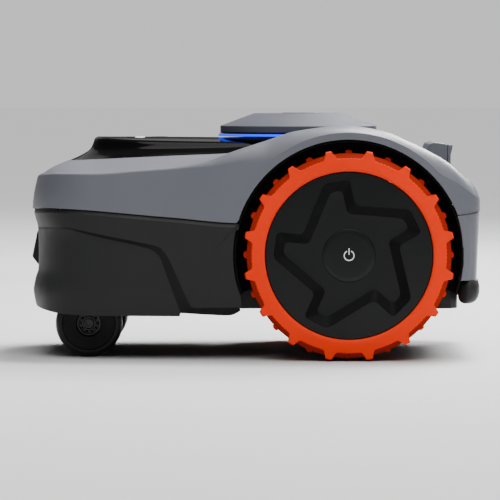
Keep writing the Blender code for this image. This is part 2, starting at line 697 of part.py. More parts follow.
def make_pod():
    place = at(POD_X, 0, 0)
    bowl = neck_outside() + [(0.0770, NECK_LOW), (0.0770, 0.2495), (0.0850, 0.2545), (0.0915, 0.2590),
                             (0.0940, 0.2642)]
    turned("pod_neck", bowl, "deck_gloss", LARGE, place)
    ring = [(RING_RADIUS, RING_HIGH), (RING_RADIUS, RING_LOW), (0.0950, RING_LOW), (0.0950, RING_HIGH)]
    turned("light_ring", ring, "light_blue", LARGE, place)
    seat = POD_CAP_RADIUS + GAP
    foot = POD_RADIUS - 0.0025
    under = POD_TOP_Z - WALL
    cover = [(seat, POD_TOP_Z), (POD_TOP_RADIUS, POD_TOP_Z), (POD_TOP_RADIUS + 0.0040, POD_TOP_Z - 0.0012),
             (POD_RADIUS - 0.0020, POD_RIM_Z + 0.0006), (POD_RADIUS, POD_RIM_Z - 0.0010),
             (POD_RADIUS, RING_HIGH + GAP), (foot, RING_HIGH + GAP), (foot, POD_RIM_Z - 0.0020),
             (POD_TOP_RADIUS, under), (POD_CAP_RADIUS + 0.0030, under),
             (POD_CAP_RADIUS + 0.0030, under - 0.0015),
             (0, under - 0.0015), (0, under + 0.0005), (seat, under + 0.0005)]
    turned("pod_cover", cover, "shell_grey", LARGE, place)
    cap = [(0, POD_CAP_Z), (POD_CAP_RADIUS - 0.0006, POD_CAP_Z), (POD_CAP_RADIUS, POD_CAP_Z - 0.0006),
           (POD_CAP_RADIUS, under + 0.0009), (0, under + 0.0009)]
    turned("pod_cap", cap, "shell_grey", MEDIUM, place)
    board = [(0, 0.2680), (0.0760, 0.2680), (0.0760, 0.2660), (0, 0.2660)]
    turned("gnss_board", board, "board_green", MEDIUM, place)


# ---- controls --------------------------------------------------------------------------------
def make_controls():
    slots = {"stop_button": "stop_red"}
    for name, x, y, radius in BUTTONS:
        top = DECK_TOP - crown_drop(y) + 0.0001
        low = top - KEY_HEIGHT
        profile = [(0, top), (radius - 0.0008, top), (radius, top - 0.0008), (radius, low), (0, low)]
        turned(name, profile, slots.get(name, "key_white"), SMALL, at(x, y, 0))
    block("display_window", (DISPLAY_X - DISPLAY_HALF_LENGTH, -DISPLAY_HALF_WIDTH, DISPLAY_LOW),
          (DISPLAY_X + DISPLAY_HALF_LENGTH, DISPLAY_HALF_WIDTH, DISPLAY_LOW + 0.0018),
          "display_glass", 0.002)


# ---- drive wheels ----------------------------------------------------------------------------
def lug_ring(name, place):
    """Two staggered rows of tapered lugs, to be joined to the tyre."""
    root_radius = TREAD_RADIUS - 0.0045
    half_root = math.atan2(0.0066, root_radius)
    half_tip = math.atan2(0.0032, WHEEL_RADIUS)
    pitch = math.tau / LUG_COUNT
    rows = ((0.1690, 0.1900, 0.5), (0.1450, 0.1660, 0.0))
    vertices = []
    faces = []
    for near, far, stagger in rows:
        for k in range(LUG_COUNT):
            middle = math.pi / 2 + (k + stagger) * pitch
            corners = ((root_radius, -half_root), (WHEEL_RADIUS, -half_tip), (WHEEL_RADIUS, half_tip),
                       (root_radius, half_root))
            base = len(vertices)
            for height in (near, far):
                for radius, turn in corners:
                    angle = middle + turn
                    vertices.append((radius * math.cos(angle), radius * math.sin(angle), height))
            faces.append(tuple(base + i for i in (3, 2, 1, 0)))
            faces.append(tuple(base + i for i in (4, 5, 6, 7)))
            for i in range(4):
                j = (i + 1) % 4
                faces.append((base + i, base + j, base + 4 + j, base + 4 + i))
    ring = add_object(name, mesh_from(name, vertices, faces), "tyre_orange")
    ring.matrix_world = place
    return ring


def star_outline(tip_radius, tip_half_width, notch_radius):
    """Five slanted arms: a short side near the arm's middle line and a long sweeping one."""
    corner_radius = math.hypot(tip_radius, tip_half_width)
    spread = math.atan2(tip_half_width, tip_radius)
    points = []
    for k in range(5):
        arm = STAR_TURN + k * math.tau / 5
        for radius, angle in ((notch_radius, arm - math.radians(16)), (corner_radius, arm - spread),
                              (corner_radius, arm + spread)):
            points.append(Vector((radius * math.cos(angle), radius * math.sin(angle))))
    return points


def make_drive_wheel(label, side):
    place = facing_y(WHEEL_X, WHEEL_RADIUS, side)
    tyre = [(TYRE_BORE, 0.1435), (0.1150, WHEEL_INNER_Y), (TREAD_RADIUS, 0.1475), (TREAD_RADIUS, 0.1875),
            (SHOULDER_RADIUS, HALF_WIDTH - 0.0006), (SHOULDER_RADIUS - 0.0020, HALF_WIDTH),
            (0.1040, HALF_WIDTH), (TYRE_BORE, 0.1905)]
    tyre_piece = turned(f"tyre_{label}", tyre, "tyre_orange", 48, place)
    join(tyre_piece, lug_ring(f"add_lugs_{label}", place))
    bore = AXLE_RADIUS + GAP
    rim = [(bore, 0.1440), (0.0300, 0.1440), (0.0300, 0.1500), (0.0930, 0.1500), (0.0930, 0.1440),
           (RIM_RADIUS, 0.1440), (RIM_RADIUS, 0.1816), (0.0960, 0.1816), (0.0960, 0.1545), (0.0300, 0.1545),
           (0.0300, 0.1650), (bore, 0.1650)]
    turned(f"wheel_rim_{label}", rim, "hub_black", MEDIUM, place)
    make_hub_cover(label, place)
    axle = [(0, 0.1312), (AXLE_RADIUS, 0.1312), (AXLE_RADIUS, 0.1654), (0.0110, 0.1654), (0.0110, 0.1720),
            (0, 0.1720)]
    turned(f"drive_axle_{label}", axle, "steel", SMALL, place)
    motor = [(0, 0.0450), (0.0230, 0.0450), (0.0230, 0.0850), (0.0290, 0.0870), (0.0290, 0.1305),
             (0, 0.1305)]
    turned(f"wheel_motor_{label}", motor, "motor_metal", MEDIUM, place)


def make_hub_cover(label, place):
    """A disc with a star-shaped recess, and the round cap on the recess floor."""
    disc = [(0, 0.1820), (RIM_RADIUS, 0.1820), (RIM_RADIUS, HUB_FACE_Y - 0.0010),
            (RIM_RADIUS - 0.0012, HUB_FACE_Y), (0, HUB_FACE_Y)]
    hub_cover = turned(f"hub_cover_{label}", disc, "hub_black", LARGE, place)
    wide = star_outline(0.0884, 0.0150, 0.0600)
    rings = []
    for depth in (STAR_DEPTH, -0.0020):
        ring = rounded(inset(wide, depth * STAR_WALL / STAR_DEPTH), 0.006, 2)
        rings.append([Vector((p.x, p.y, HUB_FACE_Y - depth)) for p in ring])
    recess = loft(f"cut_star_{label}", rings, "hub_black")
    recess.matrix_world = place
    cut(hub_cover, recess)
    floor = HUB_FACE_Y - STAR_DEPTH
    cap = [(0, floor + GAP), (HUB_CAP_RADIUS, floor + GAP), (HUB_CAP_RADIUS, floor + 0.0024),
           (HUB_CAP_RADIUS - 0.0012, floor + 0.0036), (0, floor + 0.0036)]
    turned(f"hub_cap_{label}", cap, "hub_black", MEDIUM, place)


# ---- casters ---------------------------------------------------------------------------------
def make_caster(label, side):
    centre = facing_y(CASTER_X, CASTER_RADIUS, side, side * CASTER_Y)
    tyre = [(0.0326, -0.0125), (0.0370, -0.0130), (0.0396, -0.0105), (CASTER_RADIUS, -0.0050),
            (CASTER_RADIUS, 0.0050), (0.0396, 0.0105), (0.0370, 0.0130), (0.0326, 0.0125)]
    turned(f"caster_tyre_{label}", tyre, "caster_black", MEDIUM, centre)
    hub = [(0.0075, -0.0115), (0.0318, -0.0115), (0.0322, -0.0110), (0.0322, 0.0110), (0.0318, 0.0115),
           (0.0165, 0.0115), (0.0149, 0.0095), (0.0149, 0.0015), (0.0075, 0.0015)]
    turned(f"caster_wheel_{label}", hub, "caster_black", MEDIUM, centre)
    bearing = [(0.0064, 0.0019), (0.0145, 0.0019), (0.0145, 0.0088), (0.0122, 0.0088), (0.0122, 0.0078),
               (0.0092, 0.0078), (0.0092, 0.0088), (0.0064, 0.0088)]
    turned(f"caster_bearing_{label}", bearing, "steel", SMALL, centre)
    axle = [(0, -0.0245), (0.0095, -0.0245), (0.0095, -0.0214), (0.0060, -0.0214), (0.0060, 0.0105),
            (0, 0.0105)]
    turned(f"caster_axle_{label}", axle, "steel", SMALL, centre)
    make_caster_arm(label, side)


def make_caster_arm(label, side):
    """A one-sided arm: side plate with the axle eye, top plate and swivel stem."""
    eye_radius = 0.012
    plate_front = CASTER_X - 0.012
    plate_rear = SWIVEL_X + 0.013
    plate_top = 0.0885
    outline = []
    for k in range(10):
        turn = math.radians(180 + 20 * k)
        spoke = Vector((math.cos(turn), math.sin(turn)))
        outline.append(Vector((CASTER_X, CASTER_RADIUS)) + eye_radius * spoke)
    outline += [Vector((plate_rear, 0.0700)), Vector((plate_rear, plate_top)),
                Vector((plate_front + 0.008, plate_top)), Vector((plate_front, 0.0800))]
    y_inner = side * (CASTER_Y - 0.021)
    y_outer = side * (CASTER_Y - 0.015)
    y_far = side * (CASTER_Y + 0.012)
    arm = side_prism(f"caster_arm_{label}", outline, min(y_inner, y_outer), max(y_inner, y_outer),
                     "caster_black")
    join(arm, block(f"add_arm_top_{label}", (SWIVEL_X - 0.014, min(y_inner, y_far), 0.0843),
                    (plate_rear - 0.0002, max(y_inner, y_far), plate_top - 0.0002), "caster_black", 0.004),
         cylinder(f"add_arm_stem_{label}", SWIVEL_STEM_RADIUS, SWIVEL_X, side * CASTER_Y, 0.0860, 0.1220,
                  "caster_black", SMALL))
    bore = ((0, -0.03), (0.0064, -0.03), (0.0064, -0.01), (0, -0.01))
    place = facing_y(CASTER_X, CASTER_RADIUS, side, side * CASTER_Y)
    cut(arm, turned(f"cut_arm_bore_{label}", bore, "caster_black", SMALL, place))


# ---- cutting unit ----------------------------------------------------------------------------
def make_cutting_carriage():
    """A plate on two guide rods and a lifting screw, with the tube that holds the blade motor."""
    plate_half_width = ROD_OFFSET + 0.011
    carriage = block("cutting_carriage", (CUTTER_X - 0.030, -plate_half_width, CARRIAGE_Z),
                     (SCREW_X + 0.012, plate_half_width, CARRIAGE_Z + 0.006), "skirt_black", 0.008)
    top = CARRIAGE_Z + 0.002
    join(carriage, cylinder("add_column", COLUMN_RADIUS, CUTTER_X, 0, 0.074, top, "skirt_black"))
    for label, side in SIDES:
        y = side * ROD_OFFSET
        join(carriage, cylinder(f"add_bush_{label}", 0.0095, CUTTER_X, y, 0.1565, 0.1720, "skirt_black",
                                SMALL))
        cut(carriage, cylinder(f"cut_bush_{label}", ROD_RADIUS + GAP, CUTTER_X, y, 0.15, 0.18, "skirt_black",
                               SMALL))
    cut(carriage, cylinder("cut_column", COLUMN_BORE, CUTTER_X, 0, 0.06, CARRIAGE_Z - 0.002, "skirt_black"),
        cylinder("cut_nut", SCREW_RADIUS + 0.0005, SCREW_X, 0, 0.15, 0.18, "skirt_black", SMALL))


def make_cutting_unit():
    make_cutting_carriage()
    for label, side in SIDES:
        y = side * ROD_OFFSET
        cylinder(f"guide_rod_{label}", ROD_RADIUS, CUTTER_X, y, SCREW_LOW, 0.1770, "steel", SMALL)
    cylinder("lead_screw", SCREW_RADIUS, SCREW_X, 0, SCREW_LOW, COVER_TOP, "steel", SMALL)
    motor_low = COVER_TOP + GAP
    motor = [(0, motor_low), (0.0130, motor_low), (0.0130, 0.2080), (0.0110, 0.2100), (0, 0.2100)]
    turned("height_motor", motor, "motor_metal", MEDIUM, at(SCREW_X, 0, 0))
    cylinder("blade_motor", COLUMN_BORE - 0.0005, CUTTER_X, 0, 0.0795, CARRIAGE_Z - 0.003, "motor_metal")
    disc = [(0, DISC_Z), (DISC_RADIUS, DISC_Z), (DISC_RADIUS, DISC_Z + 0.0035), (0.0200, DISC_Z + 0.0035),
            (0.0140, DISC_Z + 0.0080), (0.0060, DISC_Z + 0.0080), (0.0060, 0.0790), (0, 0.0790)]
    blade_disc = turned("blade_disc", disc, "skirt_black", MEDIUM, at(CUTTER_X, 0, 0))
    pin = [(0, DISC_Z + 0.0010), (0.0030, DISC_Z + 0.0010), (0.0030, DISC_Z - 0.0033),
           (0.0050, DISC_Z - 0.0033), (0.0050, DISC_Z - 0.0050), (0, DISC_Z - 0.0050)]
    for k in range(BLADE_COUNT):
        turn = math.tau * k / BLADE_COUNT
        x = CUTTER_X + BLADE_PIN_RADIUS * math.cos(turn)
        y = BLADE_PIN_RADIUS * math.sin(turn)
        join(blade_disc, turned(f"add_pin_{k + 1}", pin, "steel", 8, at(x, y, 0)))
        make_blade(f"blade_{k + 1}", x, y, turn)


def make_blade(name, x, y, turn):
    """A thin two-edged blade that swings on its pin."""
    reach = BLADE_REACH - BLADE_PIN_RADIUS
    outline = rounded(rectangle(-0.008, reach, -BLADE_HALF_WIDTH, BLADE_HALF_WIDTH), 0.002, 2)
    blade = prism(name, outline, DISC_Z - 0.0024, DISC_Z - 0.0014, "steel")
    cut(blade, cylinder(f"cut_{name}", 0.0035, x, y, 0.05, 0.07, "steel", 10))
    blade.matrix_world = at(x, y, 0) @ Matrix.Rotation(turn, 4, "Z")


# ---- whole machine ---------------------------------------------------------------------------
def set_joint_origins():
    """Put every moving piece's origin on the axis it turns or slides along."""
    for label, side in SIDES:
        set_origin(bpy.data.objects[f"caster_arm_{label}"], (SWIVEL_X, side * CASTER_Y, CASTER_RADIUS))
    set_origin(bpy.data.objects["cutting_carriage"], (CUTTER_X, 0, CARRIAGE_Z))


def main():
    clear_scene()
    make_chassis_tub()
    make_chassis_cover()
    make_battery()
    make_main_board()
    make_upper_shell()
    make_top_deck()
    make_front_bumper()
    make_rear_panel()
    make_rear_bumper()
    make_carry_handle()
    make_charge_parts()
    make_pod()
    make_controls()
    make_cutting_unit()
    for label, side in SIDES:
        make_wheel_well(label, side)
        make_drive_wheel(label, side)
        make_caster(label, side)
    set_joint_origins()


main()
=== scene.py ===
"""Looks of a robotic lawn mower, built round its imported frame.

The covers, tyres, hub covers, deck and pod are modelled finely here and stand for their plain solids.
Every other solid keeps its shape and gets softened edges. All finishes are procedural.
The nose points to -X, the left side to +Y. Dimensions are in metres.
"""
import json
import math

import bmesh
import bpy
from mathutils import Matrix, Vector


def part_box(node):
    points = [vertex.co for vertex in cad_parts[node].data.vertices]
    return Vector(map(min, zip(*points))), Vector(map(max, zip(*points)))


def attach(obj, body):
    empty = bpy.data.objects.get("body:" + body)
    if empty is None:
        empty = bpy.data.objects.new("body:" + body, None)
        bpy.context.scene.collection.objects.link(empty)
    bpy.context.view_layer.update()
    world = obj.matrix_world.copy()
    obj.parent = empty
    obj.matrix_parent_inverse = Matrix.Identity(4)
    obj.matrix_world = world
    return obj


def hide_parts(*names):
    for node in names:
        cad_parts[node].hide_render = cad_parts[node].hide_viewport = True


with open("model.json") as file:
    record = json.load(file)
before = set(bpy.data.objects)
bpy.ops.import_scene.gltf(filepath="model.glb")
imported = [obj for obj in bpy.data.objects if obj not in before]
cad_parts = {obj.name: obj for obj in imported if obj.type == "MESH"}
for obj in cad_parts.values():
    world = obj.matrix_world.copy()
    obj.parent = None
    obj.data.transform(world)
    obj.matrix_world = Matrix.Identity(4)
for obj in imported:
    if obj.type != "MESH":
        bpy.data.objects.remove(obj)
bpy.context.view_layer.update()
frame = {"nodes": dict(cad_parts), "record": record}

MM = 0.001
SIDES = (("left", 1), ("right", -1))


# ---- places read from the frame ----
def middle_of(node):
    low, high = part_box(node)
    return Vector([0.5 * (a + b) for a, b in zip(low, high)])


def size_of(node):
    low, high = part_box(node)
    return Vector([b - a for a, b in zip(low, high)])


WHEEL = middle_of("tyre_right")
WHEEL_X = WHEEL.x
WHEEL_Z = WHEEL.z
WHEEL_RADIUS = 0.5 * size_of("tyre_right").z
HUB_FACE_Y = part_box("hub_cover_left")[1][1]
HUB_RADIUS = 0.5 * size_of("hub_cover_left").z
HUB_CAP_RADIUS = 0.5 * size_of("hub_cap_left").x
ARCH_RADIUS = WHEEL_RADIUS + 12 * MM
BAND_RADIUS = ARCH_RADIUS + 8.2 * MM
POD_X = middle_of("light_ring").x
RING_RADIUS = 0.5 * size_of("light_ring").x
POD_RADIUS = 0.5 * size_of("pod_cover").x
CASTER_RADIUS = 0.5 * size_of("caster_tyre_left").z
SKIN_CLEARANCE = 0.1 * MM

# ---- outlines and height lines, close to the curves of the solids ----
OUTER_HALF = (
    (-0.2726, 0.0), (-0.2705, 0.050), (-0.2640, 0.098), (-0.2500, 0.135), (-0.2220, 0.160),
    (-0.1750, 0.1725), (-0.1000, 0.1800), (-0.0200, 0.1855), (0.0600, 0.1870), (0.1400, 0.1870),
    (0.2250, 0.1865), (0.2620, 0.1765), (0.2712, 0.1500), (0.2726, 0.0800), (0.2726, 0.0),
)
DECK_HALF = (
    (-0.2266, 0.0), (-0.2245, 0.022), (-0.2170, 0.045), (-0.2030, 0.066), (-0.1800, 0.084),
    (-0.1450, 0.097), (-0.0900, 0.105), (-0.0200, 0.108), (0.0600, 0.110), (0.1200, 0.108),
    (0.1600, 0.100), (0.1820, 0.086), (0.1930, 0.066), (0.1980, 0.035), (0.1990, 0.0),
)
TAIL_STATION = len(OUTER_HALF) - 1
PARTING = ((-0.2726, 0.1780), (-0.2450, 0.1810), (-0.1000, 0.1712), (-0.0170, 0.1648),
           (0.1133, 0.1700), (0.2400, 0.1740), (0.2726, 0.1785))
CREST = ((-0.2726, 0.2210), (-0.2516, 0.2225), (-0.1879, 0.2237), (-0.1398, 0.2276), (-0.0927, 0.2315),
         (-0.0554, 0.2384), (-0.0289, 0.2482), (0.0142, 0.2624), (0.0525, 0.2742), (0.1089, 0.2803),
         (0.1467, 0.2757), (0.1839, 0.2609), (0.2222, 0.2403), (0.2507, 0.2168), (0.2726, 0.2040))
INNER_EDGE = ((-0.2266, 0.2366), (-0.1879, 0.2388), (-0.1310, 0.2418), (-0.0289, 0.2464), (0.0600, 0.2520),
              (0.1200, 0.2480), (0.1600, 0.2370), (0.1990, 0.2210))
DRAFT = ((-0.2726, 0.0085), (-0.2300, 0.0060), (-0.1000, 0.0050), (0.0200, 0.0042), (0.2726, 0.0034))
ROUND_WIDTH = ((-0.2726, 0.0110), (-0.2400, 0.0034), (-0.0900, 0.0040), (-0.0300, 0.0100),
               (0.0300, 0.0200), (0.1133, 0.0230), (0.2200, 0.0280), (0.2726, 0.0260))
ROUND_HEIGHT = ((-0.2726, 0.0075), (-0.2400, 0.0030), (-0.0900, 0.0035), (-0.0300, 0.0160),
                (0.0200, 0.0280), (0.2300, 0.0280), (0.2726, 0.0240))
DECK_LINE = ((-0.2266, 0.2640), (-0.1900, 0.2653), (0.0600, 0.2630), (0.1300, 0.2560), (0.1990, 0.2270))
DECK_WALL = ((0.0, 0.0), (0.0074, 0.11), (0.0174, 0.29), (0.0246, 0.47), (0.0280, 0.70), (0.0303, 0.92),
             (0.0338, 1.0))
SKIRT_BOTTOM = ((-0.2726, 0.0615), (-0.2534, 0.0575), (-0.2350, 0.0545), (-0.2035, 0.0530),
                (-0.0140, 0.0530))


# ---- curves ----
def height_line(points):
    """Return a smooth function through (x, value) points that never overshoots them."""
    xs = [point[0] for point in points]
    values = [point[1] for point in points]
    slopes = [(values[i + 1] - values[i]) / (xs[i + 1] - xs[i]) for i in range(len(xs) - 1)]
    tangents = [slopes[0]]
    for before, after in zip(slopes, slopes[1:]):
        tangents.append(0.0 if before * after <= 0 else 2 * before * after / (before + after))
    tangents.append(slopes[-1])

    def value_at(x):
        x = min(max(x, xs[0]), xs[-1])
        i = max(j for j in range(len(xs) - 1) if xs[j] <= x)
        width = xs[i + 1] - xs[i]
        t = (x - xs[i]) / width
        rise = values[i + 1] - values[i]
        bend_in = tangents[i] * width - rise
        bend_out = rise - tangents[i + 1] * width
        return values[i] + t * rise + t * (1 - t) * ((1 - t) * bend_in + t * bend_out)

    return value_at


def smooth_step(p0, p1, p2, p3, t):
    """Return the place at share t between p1 and p2 on a smooth curve through all four points."""
    return 0.5 * (2 * p1 + (p2 - p0) * t + (2 * p0 - 5 * p1 + 4 * p2 - p3) * t ** 2
                  + (3 * p1 - p0 - 3 * p2 + p3) * t ** 3)


def outline_curve(half):
    """Return a function of a station on the right side (-Y): 0 at the nose, len(half) - 1 at the tail."""
    loop = [Vector((x, -y)) for x, y in half] + [Vector((x, y)) for x, y in reversed(half[1:-1])]
    count = len(loop)

    def spot_at(station):
        i = math.floor(station)
        return smooth_step(*(loop[(i + k) % count] for k in (-1, 0, 1, 2)), station - i)

    return spot_at


parting_z = height_line(PARTING)
crest_z = height_line(CREST)
inner_z = height_line(INNER_EDGE)
draft_at = height_line(DRAFT)
round_width = height_line(ROUND_WIDTH)
round_height = height_line(ROUND_HEIGHT)
deck_top_z = height_line(DECK_LINE)
deck_wall = height_line(DECK_WALL)
skirt_bottom_z = height_line(SKIRT_BOTTOM)
outer_at = outline_curve(OUTER_HALF)
deck_at = outline_curve(DECK_HALF)


def station_at(x):
    """Return the station on the side where the outer outline passes x."""
    low = 0.0
    high = TAIL_STATION - 1.0
    for _ in range(40):
        trial = 0.5 * (low + high)
        if outer_at(trial).x < x:
            low = trial
        else:
            high = trial
    return 0.5 * (low + high)


def ramp(value, low, high):
    """Rise smoothly from 0 at low to 1 at high, and stay level outside."""
    t = min(1.0, max(0.0, (value - low) / (high - low)))
    return t * t * (3 - 2 * t)


def mix(a, b, share):
    return a + (b - a) * share


def inset(points, distance):
    """Move a closed anticlockwise outline inwards by a distance."""
    moved = []
    for i, point in enumerate(points):
        into = (point - points[i - 1]).normalized()
        out = (points[(i + 1) % len(points)] - point).normalized()
        normal_in = Vector((-into.y, into.x))
        normal_out = Vector((-out.y, out.x))
        middle = (normal_in + normal_out).normalized()
        moved.append(point + middle * distance / max(0.3, middle.dot(normal_in)))
    return moved


def corner_curve(before, point, after, radius, steps):
    """Return the points of a short curve that rounds one corner."""
    reach = min(radius, 0.45 * (before - point).length, 0.45 * (after - point).length)
    start = point + (before - point).normalized() * reach
    end = point + (after - point).normalized() * reach
    shares = [step / steps for step in range(steps + 1)]
    return [(1 - t) ** 2 * start + 2 * t * (1 - t) * point + t ** 2 * end for t in shares]


def rectangle(low_x, low_y, high_x, high_y):
    return [(low_x, low_y), (high_x, low_y), (high_x, high_y), (low_x, high_y)]


def rounded(outline, radius, steps=6):
    """Round each corner of a closed outline."""
    points = [Vector(p) for p in outline]
    curve = []
    for i, point in enumerate(points):
        curve += corner_curve(points[i - 1], point, points[(i + 1) % len(points)], radius, steps)
    return curve


# ---- meshes ----
def keep(name, shape, sharp_degrees=30, skin=False, crisp_at=None):
    """Turn a bmesh into a named, smooth-shaded object.

    An open skin keeps the way its faces were drawn. Edges between points where crisp_at is true stay crisp.
    """
    bmesh.ops.remove_doubles(shape, verts=shape.verts, dist=0.01 * MM)
    bmesh.ops.dissolve_degenerate(shape, edges=shape.edges, dist=0.001 * MM)
    if not skin:
        bmesh.ops.recalc_face_normals(shape, faces=shape.faces)
    mesh = bpy.data.meshes.new(name)
    shape.to_mesh(mesh)
    shape.free()
    mesh.shade_smooth()
    mesh.set_sharp_from_angle(angle=math.radians(sharp_degrees))
    if crisp_at:
        for edge in mesh.edges:
            if all(crisp_at(mesh.vertices[i].co) for i in edge.vertices):
                edge.use_edge_sharp = True
    piece = bpy.data.objects.new(name, mesh)
    bpy.context.collection.objects.link(piece)
    return piece


def add_grid(shape, rows, loop_rows=False, loop_columns=False):
    """Add a sheet through a table of points. It faces out if rows go anticlockwise and points go upwards."""
    corners = [[shape.verts.new(point) for point in row] for row in rows]
    height = len(corners)
    width = len(corners[0])
    for i in range(height if loop_rows else height - 1):
        for j in range(width if loop_columns else width - 1):
            k = (i + 1) % height
            m = (j + 1) % width
            shape.faces.new((corners[i][j], corners[k][j], corners[k][m], corners[i][m]))


def grid_piece(name, rows, loop_rows=False, loop_columns=False, **edges):
    shape = bmesh.new()
    add_grid(shape, rows, loop_rows, loop_columns)
    return keep(name, shape, **edges)


def facing_y(x, z, side, y=0.0):
    """Point a turned piece's axis outwards, to +Y or -Y."""
    return Matrix.Translation((x, y, z)) @ Matrix.Rotation(-side * math.pi / 2, 4, "X")


def at(x, y, z):
    return Matrix.Translation((x, y, z))


def polar(radius, turn):
    return Vector((radius * math.cos(turn), radius * math.sin(turn)))


def spoke(profile, turn, place):
    """Stand a (radius, height) profile at one turn about the local Z axis."""
    return [place @ Vector((*polar(radius, turn), height)) for radius, height in profile]


def turned_rows(profile, segments, place):
    return [spoke(profile, math.tau * i / segments, place) for i in range(segments)]


def soften(profile, radius, steps=4):
    """Round the corners of a (radius, height) profile; its ends stay where they are."""
    points = [Vector(p) for p in profile]
    curve = [points[0]]
    for corner in zip(points, points[1:], points[2:]):
        curve += corner_curve(*corner, radius, steps)
    curve.append(points[-1])
    return [tuple(p) for p in curve]


def turned(name, profile, place, segments=128, closed=False, sharp_degrees=30):
    """Turn a (radius, height) profile about the local Z axis, then place it."""
    rows = turned_rows(profile, segments, place)
    return grid_piece(name, rows, loop_rows=True, loop_columns=closed, sharp_degrees=sharp_degrees)


def add_tube(shape, rings):
    """Add a tube through rings of points, with a face over each end."""
    add_grid(shape, rings, loop_columns=True)
    for ring in (rings[0], rings[-1]):
        shape.faces.new([shape.verts.new(point) for point in ring])


def extruded(shape, outline, place, low, high):
    """Add a solid between two heights of a flat outline given in (x, y)."""
    add_tube(shape, [[place @ Vector((p.x, p.y, height)) for p in outline] for height in (low, high)])


def bevel(piece, width, segments=3, angle=30):
    change = piece.modifiers.new("soft_edges", "BEVEL")
    change.width = width
    change.segments = segments
    change.limit_method = "ANGLE"
    change.angle_limit = math.radians(angle)
    change.harden_normals = True
    return piece


def thicken(piece, thickness):
    """Give an open skin its wall, grown inwards."""
    change = piece.modifiers.new("wall", "SOLIDIFY")
    change.thickness = thickness
    change.offset = -1
    return piece


def dress(piece, body, slot, *nodes, finish=None):
    """Fasten a piece to its body, finish it like its slot unless told, and let it stand for its solids."""
    piece.data.materials.append(FINISH[finish or slot])
    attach(piece, body)
    if nodes:
        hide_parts(*nodes)
    return piece


# ---- finishes ----
def new_finish(name):
    """Start a material, and return it with its shader."""
    finish = bpy.data.materials.new(name)
    finish.use_nodes = True
    return finish, finish.node_tree.nodes["Principled BSDF"]


def new_node(finish, kind, **values):
    """Add a node with some of its inputs set."""
    node = finish.node_tree.nodes.new(f"ShaderNode{kind}")
    for name, value in values.items():
        node.inputs[name.replace("_", " ")].default_value = value
    return node


def join(finish, source, output, target, entry):
    """Link an output of one node to an input of another."""
    finish.node_tree.links.new(source.outputs[output], target.inputs[entry])


def add_noise(finish, scale, detail=3.0):
    """A noise pattern in the object's own coordinates, in metres."""
    place = new_node(finish, "TexCoord")
    noise = new_node(finish, "TexNoise", Scale=scale, Detail=detail)
    join(finish, place, "Object", noise, "Vector")
    return noise


def add_gloss(finish, shader, pattern, low, high):
    """Spread a pattern over a range of roughness."""
    spread = new_node(finish, "MapRange", From_Min=0.3, From_Max=0.7, To_Min=low, To_Max=high)
    join(finish, pattern, "Fac", spread, "Value")
    join(finish, spread, "Result", shader, "Roughness")


def add_tint(finish, shader, pattern, dark, light):
    """Spread a pattern over a range of colour."""
    tint = new_node(finish, "ValToRGB")
    for stop, position, colour in zip(tint.color_ramp.elements, (0.3, 0.7), (dark, light)):
        stop.position = position
        stop.color = (*colour, 1.0)
    join(finish, pattern, "Fac", tint, "Fac")
    join(finish, tint, "Color", shader, "Base Color")
    return tint


def add_bump(finish, shader, pattern, strength, depth):
    """Let a pattern raise the surface by a depth."""
    bump = new_node(finish, "Bump", Strength=strength, Distance=depth)
    join(finish, pattern, "Fac", bump, "Height")
    join(finish, bump, "Normal", shader, "Normal")


def scaled(colour, factor):
    return tuple(min(1.0, value * factor) for value in colour)


def moulded_plastic(name, colour, roughness, grain, grain_depth, specular=0.5, variation=0.04):
    """Moulded plastic: a fine spark-eroded grain, faint clouding of the tint and of the gloss."""
    finish, shader = new_finish(name)
    clouds = add_noise(finish, 9.0, 2.0)
    add_tint(finish, shader, clouds, scaled(colour, 1 - variation), scaled(colour, 1 + variation))
    add_gloss(finish, shader, add_noise(finish, 60.0), roughness * 0.94, min(1.0, roughness * 1.06))
    add_bump(finish, shader, add_noise(finish, grain), grain_depth, 0.1 * MM)
    shader.inputs["Specular IOR Level"].default_value = specular
    return finish


def brushed_metal(name, colour, roughness):
    """Metal with fine turning marks and uneven polish."""
    finish, shader = new_finish(name)
    shader.inputs["Metallic"].default_value = 1.0
    add_tint(finish, shader, add_noise(finish, 40.0), scaled(colour, 0.9), colour)
    marks = add_noise(finish, 900.0)
    add_gloss(finish, shader, marks, roughness * 0.8, roughness * 1.2)
    add_bump(finish, shader, marks, 0.1, 0.02 * MM)
    return finish


def lit_guide(name, colour, strength):
    """A frosted light guide that glows, a little unevenly along its length."""
    finish, shader = new_finish(name)
    tint = add_tint(finish, shader, add_noise(finish, 18.0), scaled(colour, 0.92), colour)
    join(finish, tint, "Color", shader, "Emission Color")
    shader.inputs["Emission Strength"].default_value = strength
    shader.inputs["Roughness"].default_value = 0.5
    shader.inputs["Specular IOR Level"].default_value = 0.1
    return finish


def circuit_board(name, mask, copper):
    """Solder mask with the paler tint of the copper areas below it."""
    finish, shader = new_finish(name)
    add_tint(finish, shader, add_noise(finish, 120.0), mask, copper)
    shader.inputs["Roughness"].default_value = 0.4
    return finish


